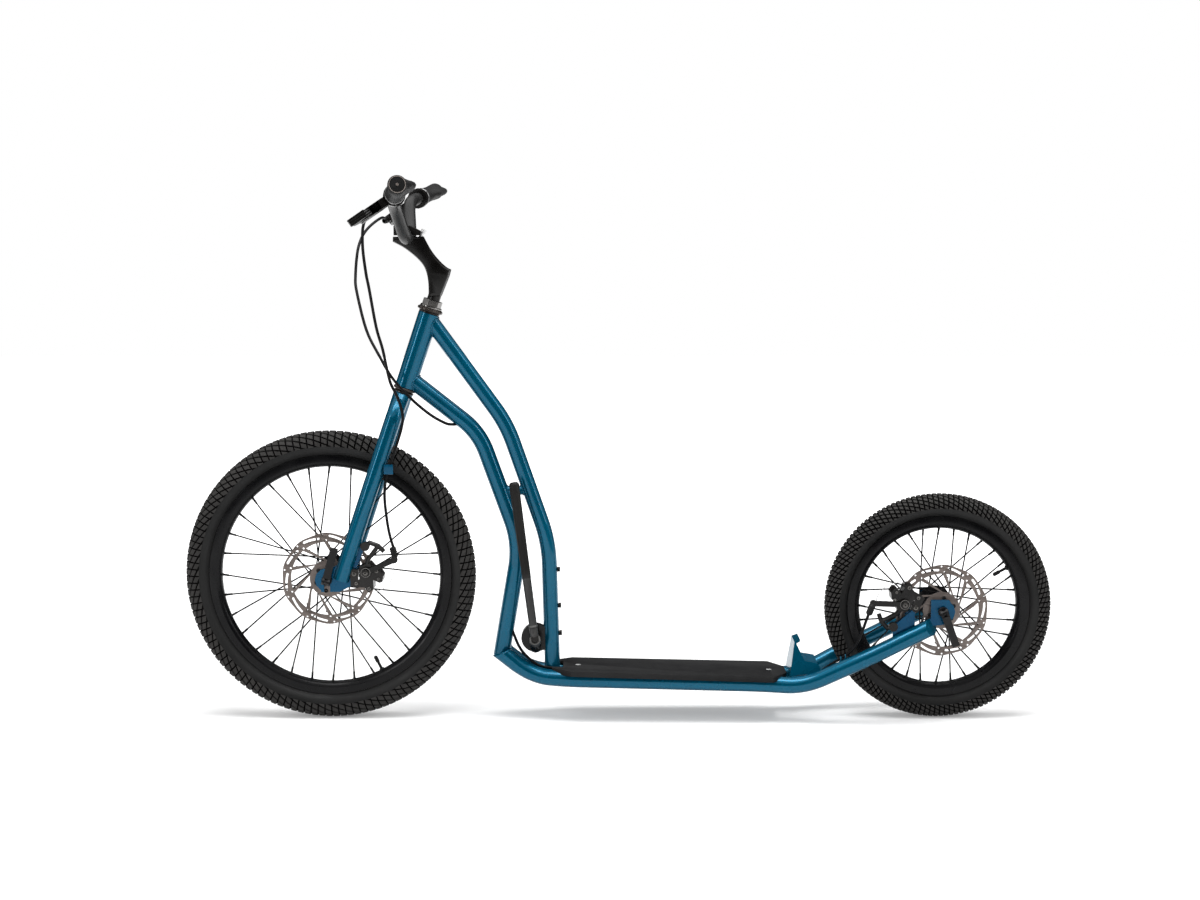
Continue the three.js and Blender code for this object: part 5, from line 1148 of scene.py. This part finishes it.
# Handlebar. A bent aluminium riser bar in satin charcoal, with a moulded rubber grip on
# each end. A ring collar with one small screw clamps each grip.
bar_satin = finish_of(
    "bar_satin", 0.023, 0.018, cloud=12, grain=1300, bump=0.03, rough=0.42, rubbed=0.09,
    rub=0.3, metal=0.3, shine=0.24,
)
BAR_RADIUS = 11.1
BAR_ENDS = {side: Vector((-343, side * 350, 922)) for side in (LEFT, RIGHT)}
BAR_ELBOWS = {side: Vector((-373, side * 133, 899)) for side in (LEFT, RIGHT)}


def on_bar(side, along):
    """A point on the straight outer run of the bar, a length in from its end."""
    run = (BAR_ELBOWS[side] - BAR_ENDS[side]).normalized()
    return BAR_ENDS[side] + run * along


bar_path = bent([
    on_bar(LEFT, 3.3), BAR_ELBOWS[LEFT], (-362, -46, 837), (-362, 46, 837), BAR_ELBOWS[RIGHT],
    on_bar(RIGHT, 3.3),
], [34, 26, 26, 34])
place_piece(
    "riser_bar", swept(bar_path, BAR_RADIUS, 32), bar_satin, "steering",
    ["handlebar"], 40,
)
grip_rubber = finish_of(
    "grip_rubber", (0.013, 0.013, 0.0133), (0.009, 0.009, 0.0093), cloud=60, grain=1000,
    bump=0.4, smooth=0.5, rough=0.64, rubbed=0.038, rub=0.4, shine=0.1,
)
collar_alloy = finish_of(
    "collar_alloy", 0.14, 0.09, cloud=60, grain=1400, bump=0.02, smooth=0.25, rough=0.38,
    rubbed=0.4, metal=0.7,
)
cap_ring_alloy = finish_of(
    "cap_ring_alloy", (0.26, 0.22, 0.2), (0.15, 0.125, 0.11), cloud=60, grain=1400, bump=0.02,
    smooth=0.25, rough=0.38, rubbed=(0.5, 0.46, 0.43), metal=0.3,
)
GRIP_LENGTH, GRIP_RADIUS, GRIP_WAIST, GRIP_INSET, CAP_INSET, COLLAR_WIDTH = 128, 15, 1.2, 2, 3, 8
GRIP_RINGS, GRIP_CORNERS, WING_REACH, WING_RISE, WING_SPREAD = 40, 48, 31, 8, 24
# The palm rest: shares of the grip's length, and shares of its full reach there
WING_SHARES = [
    (0, 0.5), (0.04, 0.5), (0.12, 0.78), (0.3, 1), (0.55, 0.97), (0.82, 0.72), (0.93, 0.5),
    (1, 0.5),
]
GRIP_CAP = [(0.5, -3), (11, -3), (13.5, -2.4), (14.4, -1), (14.4, 3), (0.5, 3)]
CAP_RING = [(11.9, -2.5), (13.2, -2.5), (13, -3.5), (12.1, -3.5)]
CAP_DOT = [(0.3, -2.6), (2.4, -2.6), (2, -3.6), (0.3, -3.6)]
COLLAR = [
    (11.3, 0), (15.6, 0), (16.4, 0.8), (16.4, COLLAR_WIDTH - 0.8), (15.6, COLLAR_WIDTH),
    (11.3, COLLAR_WIDTH),
]
COLLAR_SCREW = [(0.5, 0), (2.6, 0), (2.6, 1.4), (1.4, 1.4), (1.4, 0.6), (0.5, 0.6)]


def wing_at(share):
    """How far the palm rest reaches behind the bar, at a share of the grip's length."""
    for (from_share, from_reach), (to_share, to_reach) in zip(WING_SHARES, WING_SHARES[1:]):
        if share <= to_share:
            t = (share - from_share) / (to_share - from_share)
            t = t * t * (3 - 2 * t)
            return WING_REACH * (from_reach + t * (to_reach - from_reach))
    return WING_REACH / 2


for side, name in SIDES:
    run = (BAR_ELBOWS[side] - BAR_ENDS[side]).normalized()
    rings = []
    for k in range(GRIP_RINGS + 1):
        share = k / GRIP_RINGS
        spot = on_bar(side, CAP_INSET + share * (GRIP_LENGTH - CAP_INSET - COLLAR_WIDTH))
        swell = GRIP_RADIUS - GRIP_WAIST * math.sin(math.pi * share) ** 2
        if k in (0, GRIP_RINGS):
            swell -= GRIP_INSET
        wing = max(0, wing_at(share) - swell)
        ring = []
        for n in range(GRIP_CORNERS):
            turn = 360 * n / GRIP_CORNERS
            away = (turn + 180) % 360 - 180
            reach = swell + wing * math.exp(-(away / WING_SPREAD) ** 2)
            angle = math.radians(turn + WING_RISE)
            way = Vector((math.cos(angle), 0, math.sin(angle)))
            way = (way - way.dot(run) * run).normalized()
            ring.append(spot + way * reach)
        rings.append(ring)
    place_piece(
        name + "_grip_rubber", rings_to_shape(rings), grip_rubber, "steering",
        [name + "_grip"], 45,
    )
    foot = on_bar(side, CAP_INSET)
    place_piece(
        name + "_grip_cap", turned(GRIP_CAP, foot, run, 40), grip_rubber, "steering",
        (), 35,
    )
    collar = turned(COLLAR, on_bar(side, GRIP_LENGTH - COLLAR_WIDTH), run, 40, looped=True)
    below_collar = on_bar(side, GRIP_LENGTH - COLLAR_WIDTH / 2) + Vector((0, 0, -16))
    screw = turned(COLLAR_SCREW, below_collar, (0, 0, -1), 16)
    place_piece(
        name + "_grip_collar", together(collar, screw), collar_alloy, "steering",
        (), 30,
    )
    trim = together(turned(CAP_RING, foot, run, 40, looped=True), turned(CAP_DOT, foot, run, 20))
    place_piece(
        name + "_cap_ring", trim, cap_ring_alloy, "steering", (), 30,
    )

# Brake levers. Cast black alloy brackets clamped on the bar, each with a screwed barrel
# adjuster in which the cable ends. The two-finger blade on its pin has three ribs.
LEVER_TILT, LEVER_INSET, RIB_PITCH = math.radians(35), 146.2, 4
BLADE_LENGTH, BLADE_DROOP = 112, 6
BARREL_END, BARREL_REACH = 39, 62
BARREL_ADJUSTER = [
    (2.6, -1), (4.4, -1), (4.4, 3), (5.4, 3.6), (5.4, 9.4), (4.6, 10), (3.6, 10.6), (3.4, 15),
    (2.6, 15),
]
# The blade from above: how far in from the lever's pin, and how far out from the bar
BLADE_OUTLINE = [
    (5, 50), (0, 44), (-13.6, 45.4), (-27.2, 66.4), (-61.6, 70.5), (-95, 67), (-110, 58),
    (-112, 60), (-112, 88), (-110, 89), (-104, 89.6), (-89.6, 84), (-56, 83.2), (-23.8, 76),
    (-6.8, 58.3), (4.6, 54.6),
]
for side, name in SIDES:
    dressed(
        name + "_perch", name + "_lever_bracket", forged_black, "steering",
        28, 1,
    )
    run = (BAR_ELBOWS[side] - BAR_ENDS[side]).normalized()
    out = Vector((-math.cos(LEVER_TILT), 0, -math.sin(LEVER_TILT)))
    out = (out - out.dot(run) * run).normalized()
    thick_way = run.cross(out)
    origin = on_bar(side, LEVER_INSET)
    adjuster = turned(
        BARREL_ADJUSTER, origin + run * BARREL_END + out * BARREL_REACH, run, 32, looped=True,
    )
    place_piece(
        name + "_barrel_adjuster", adjuster, forged_black, "steering", (), 30,
    )
    for level in (-1, 0, 1):
        faces = [[
            origin + run * along + out * reach + thick_way * (level + half) * RIB_PITCH
            + Vector((0, 0, BLADE_DROOP * along / BLADE_LENGTH))
            for along, reach in BLADE_OUTLINE
        ] for half in (-0.5, 0.5)]
        place_piece(
            "%s_lever_rib_%d" % (name, level + 2), rings_to_shape(faces), forged_black,
            name + "_lever", () if level else [name + "_brake_lever"], 28, 1,
        )

# Disc brakes. Cast calipers bolted to the fork's tabs and to the left stay, each with a
# pressed arm that the cable's inner wire pulls.
for name, carrier in ENDS:
    dressed(
        name + "_brake_casting", name + "_caliper", forged_black, carrier,
        28, 0.9,
    )
    dressed(
        name + "_pull_arm", name + "_caliper_arm", forged_black, name + "_arm",
        28, 0.7,
    )

# Brake cables. Black plastic-jacketed steel housings with a thin inner wire, held by the
# levers' barrels, the fork's guide and the stay's clip. A route that starts at a lever has
# its first two points inside the barrel.
cable_jacket = finish_of(
    "cable_jacket", (0.006, 0.006, 0.0065), (0.004, 0.004, 0.0045), cloud=30, grain=1200,
    bump=0.06, smooth=0.26, rough=0.38, shine=0.08,
)
CABLE_RADIUS = 2.5
FRONT_CABLE = [
    (-417.3, -190, 869), (-418.3, -178, 867.7), (-418, -146, 868), (-423, -134, 852),
    (-424, -128, 820), (-420, -121, 779), (-416, -115, 754), (-407, -99, 690),
    (-398, -89, 653), (-391, -80, 613), (-386, -75, 592), (-378, -69, 574), (-371, -65, 553),
    (-368, -63, 535), (-371, -61, 515), (-379, -60, 489), (-389, -60, 458), (-398, -60, 430),
    (-401, -61, 400), (-398, -63, 365), (-393, -65, 335), (-386, -64.6, 309),
]
REAR_LOOP = [
    (-417.3, 190, 869), (-418.3, 178, 867.7), (-422, 146, 872), (-436, 130, 862),
    (-448, 112, 848), (-455, 96, 832), (-459, 80, 810), (-460, 58, 771), (-456, 40, 744),
    (-436, 4, 680), (-412, -22, 638), (-388, -36, 600), (-358, -36, 566), (-326, -27, 537),
    (-300, -14, 520), (-288, -7, 517), (-281, -3.6, 517),
]
REAR_CABLE = [
    (-280.6, -3.4, 517), (-273, -1, 516.8), (-262, 0, 514), (-246, 0, 497), (-232, 0, 470),
    (-210, 0, 415), (-186, 0, 350), (-176, 0, 308), (-182, -1, 250), (-191, -2, 200),
    (-192, -4, 172), (-184, -6, 148), (-172, -9, 122), (-154, -13, 103), (-136, -16.5, 93),
    (-116, -17.2, 89.6), (-98, -16, 84), (-84, -13, 74), (-60, -10, 66), (0, -10, 64),
    (100, -10, 62), (200, -10, 60), (260, -12, 60), (310, -22, 64), (345, -33, 84),
    (368, -42, 102), (385, -50, 115), (397, -55, 125), (408, -60, 140), (418, -65, 165),
    (426, -68.5, 190), (429.5, -69.6, 200),
]


def jacket(name, node, route, body):
    """A length of housing along its route."""
    return place_piece(
        name, swept(flowing(route), CABLE_RADIUS, 12), cable_jacket, body,
        [node], 60,
    )


jacket("front_cable_run", "front_brake_cable", FRONT_CABLE, "steering")
jacket("rear_cable_run", "rear_brake_cable", REAR_CABLE, "frame")
cable_loop = jacket("rear_cable_bow", "rear_cable_loop", REAR_LOOP, None)
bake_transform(cable_loop)

# Bolts of the brakes. Socket-headed steel bolts hold each caliper's feet, its pads and its
# arm, whose hub wears a bright ring.
bolt_steel = finish_of(
    "bolt_steel", (0.09, 0.085, 0.08), (0.05, 0.047, 0.044), cloud=120, grain=1500, bump=0.02,
    smooth=0.22, rough=0.36, rubbed=(0.3, 0.29, 0.28), metal=0.85,
)
CALIPER_PIVOT_REACH, CALIPER_PIVOT_RISE, REAR_CALIPER_TURN = 68, 15, 154
CALIPERS = {"front": (FRONT_AXLE, 1, 0, -64.9), "rear": (REAR_AXLE, -1, REAR_CALIPER_TURN, -69.9)}


def caliper_spot(name, along, rise, across):
    """A point of a caliper's side view, from its arm's pivot."""
    axle, way, turn, arm_side = CALIPERS[name]
    point = polar(1, turn) * along + polar(1, turn + 90) * rise
    return Vector((
        axle.x + way * CALIPER_PIVOT_REACH + point.x, arm_side + across,
        axle.z + CALIPER_PIVOT_RISE + point.y,
    ))


HUB_FACE, CAP_FACE, BODY_FACE = -3.1, -7.1, 3.3
# Each head in the caliper's side view: along, up and its radius
CALIPER_BOLTS = [(-20.5, -3, 4.4), (18, 1.5, 3.2), (5, -29, 3.6), (21, -12, 2.6), (-17, -20, 3.2)]
HUB_RING = [(7.2, -0.2), (7.4, 0.7), (8.2, 0.7), (8.4, -0.2)]
BODY_HEAD_RISE, ARM_HEAD_RISE, ARM_HEAD_RADIUS = 1.8, 1.4, 4.6


def socket_head(spot, radius, tall):
    """A domed bolt head that faces the rider's left, with a round socket in it."""
    return turned([
        (radius * 0.42, -tall * 0.2), (radius * 0.42, tall), (radius * 0.7, tall),
        (radius * 0.92, tall * 0.7), (radius, 0), (radius * 0.96, -tall * 0.4),
    ], spot, (0, -1, 0), 22, looped=True)


for name, carrier in ENDS:
    heads = [
        socket_head(caliper_spot(name, along, rise, BODY_FACE), radius, BODY_HEAD_RISE)
        for along, rise, radius in CALIPER_BOLTS
    ]
    place_piece(
        name + "_caliper_bolts", together(*heads), bolt_steel, carrier, (), 30,
    )
    head = socket_head(caliper_spot(name, 0, 0, CAP_FACE), ARM_HEAD_RADIUS, ARM_HEAD_RISE)
    hub_ring = turned(HUB_RING, caliper_spot(name, 0, 0, HUB_FACE), (0, -1, 0), 32, looped=True)
    place_piece(
        name + "_arm_bolt", together(head, hub_ring), bolt_steel, name + "_arm",
        (), 30,
    )

# Wire tails. The bare end of each inner wire, stranded steel, curves down from the clamp
# that holds it on its arm.
wire_steel = finish_of(
    "wire_steel", 0.5, 0.38, cloud=90, grain=1600, bump=0.02, rough=0.4, metal=0.9,
)
WIRE_RADIUS = 0.55
TAIL = [(46.5, 18, 0), (48.4, 6, 0), (46, -8, -0.5), (40, -19, -1), (30, -28, -1), (18, -33, -1)]
for name, carrier in ENDS:
    tail = flowing([caliper_spot(name, *point) for point in TAIL])
    place_piece(
        name + "_wire_tail", swept(tail, WIRE_RADIUS, 8), wire_steel, name + "_arm",
        (), 60,
    )

# Cable boots. Short ribbed rubber bellows that keep water out where the inner wire leaves
# its jacket. They shorten as the arm is pulled.
boot_rubber = finish_of(
    "boot_rubber", 0.01, 0.007, cloud=60, grain=1100, bump=0.2, smooth=0.42, rough=0.56,
    shine=0.15,
)
BOOT_LENGTH, BOOT_RADIUS, FOLD_RADIUS, FOLD_COUNT, FOLD_PITCH = 20, 6, 5, 5, 3.2
boot_profile = [(2.6, 0), (4.6, 0), (FOLD_RADIUS, 1)]
for k in range(FOLD_COUNT):
    start = 2 + k * FOLD_PITCH
    boot_profile += [
        (BOOT_RADIUS, start + 0.6), (BOOT_RADIUS, start + 1.4), (FOLD_RADIUS, start + 2.4),
    ]
boot_profile += [(3.6, BOOT_LENGTH - 1), (2.8, BOOT_LENGTH)]
for (name, carrier), route in zip(ENDS, (FRONT_CABLE, REAR_CABLE)):
    lowest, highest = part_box(name + "_cable_boot")
    middle = (Vector(lowest) + Vector(highest)) / 2 / MM
    run = (Vector(route[-1]) - Vector(route[-2])).normalized()
    foot = middle - run * BOOT_LENGTH / 2
    bellows = place_piece(
        name + "_bellows", turned(boot_profile, foot, run, 24), boot_rubber, carrier,
        [name + "_cable_boot"], 40,
    )
    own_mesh(bellows)

# Side stand. A forged leg that folds up along the upright tube, in a round cast bracket
# behind that tube. Both are black, and the leg's upper half is dull.
stand_black = finish_of(
    "stand_black", (0.013, 0.0125, 0.012), (0.009, 0.0088, 0.0085), cloud=18, grain=1100,
    bump=0.12, smooth=0.4, rough=0.56, rubbed=0.08, shine=0.12,
)
stand_satin = finish_of(
    "stand_satin", 0.008, 0.005, cloud=18, grain=1300, bump=0.06, smooth=0.24, rough=0.36,
    rubbed=0.08, shine=0.45,
)
stand_worn = finish_of(
    "stand_worn", (0.05, 0.049, 0.048), 0.022, cloud=60, grain=1300, bump=0.12, smooth=0.26,
    rough=0.42, rubbed=(0.22, 0.22, 0.21), rub=0.8, metal=0.6,
)
STAND_PIVOT = Vector((-146, -29, 141))
STAND_TILT, STAND_LEAN = math.radians(32), math.radians(7.3)
STAND_NECK, STAND_FOOT, STAND_REACH = 6.8, 8.5, 276
STAND_HUB, STAND_HUB_EDGE, STAND_HUB_HALF, STAND_BORE = 10, 0.8, 6.5, 4.3
SHANK_START, COAT_START = 26, 112
# The leg's rounded foot: how far past its reach, and shares of its radius there
FOOT_ROUNDING = ((2.4, 0.9), (3.9, 0.7), (4.25, 0.45))
STAND_CUFF = [(7.3, 25), (8, 25.4), (8, 27.6), (7.3, 28)]
stand_axis = Vector((0, -math.cos(STAND_TILT), math.sin(STAND_TILT)))
stand_up = Vector((-math.sin(STAND_LEAN), 0, math.cos(STAND_LEAN)))


def stand_run(first, last, spread=0, steps=10):
    """A length of the leg, between two distances from its pivot."""
    path, sizes = [], []
    for k in range(steps + 1):
        reach = first + (last - first) * k / steps
        path.append(STAND_PIVOT + stand_up * reach)
        sizes.append(STAND_NECK + (STAND_FOOT - STAND_NECK) * reach / STAND_REACH + spread)
    return path, sizes


coat_path, coat_sizes = stand_run(COAT_START, STAND_REACH, 0.25)
for more, share in FOOT_ROUNDING:
    coat_path.append(STAND_PIVOT + stand_up * (STAND_REACH + more))
    coat_sizes.append(STAND_FOOT * share)
place_piece(
    "stand_leg", swept(coat_path, coat_sizes, 28), stand_black, "side_stand",
    ["kickstand_leg"], 40,
)
place_piece(
    "stand_shank", swept(*stand_run(SHANK_START, COAT_START + 0.5), 28), stand_satin,
    "side_stand", (), 40,
)
knuckle_path, knuckle_sizes = stand_run(4, SHANK_START + 1, 0.5)
knuckle_sizes[-1] -= 1
half_hub = [
    (STAND_BORE, STAND_HUB_HALF), (STAND_HUB - STAND_HUB_EDGE, STAND_HUB_HALF),
    (STAND_HUB, STAND_HUB_HALF - STAND_HUB_EDGE),
]
stand_hub = turned(
    [(out, -along) for out, along in half_hub] + half_hub[::-1], STAND_PIVOT, stand_axis, 32,
    looped=True,
)
stand_cuff = turned(STAND_CUFF, STAND_PIVOT, stand_up, 28, looped=True)
place_piece(
    "stand_knuckle", together(swept(knuckle_path, knuckle_sizes, 28), stand_hub, stand_cuff),
    stand_worn, "side_stand", (), 40,
)
dressed("stand_casting", "stand_bracket", forged_black, "frame", 28, 1.2)
for name in ("upper_bottle_bolt", "lower_bottle_bolt", "stand_bracket_bolt"):
    dressed(name + "_head", name, small_bolt_black, "frame", 28, 0.8)
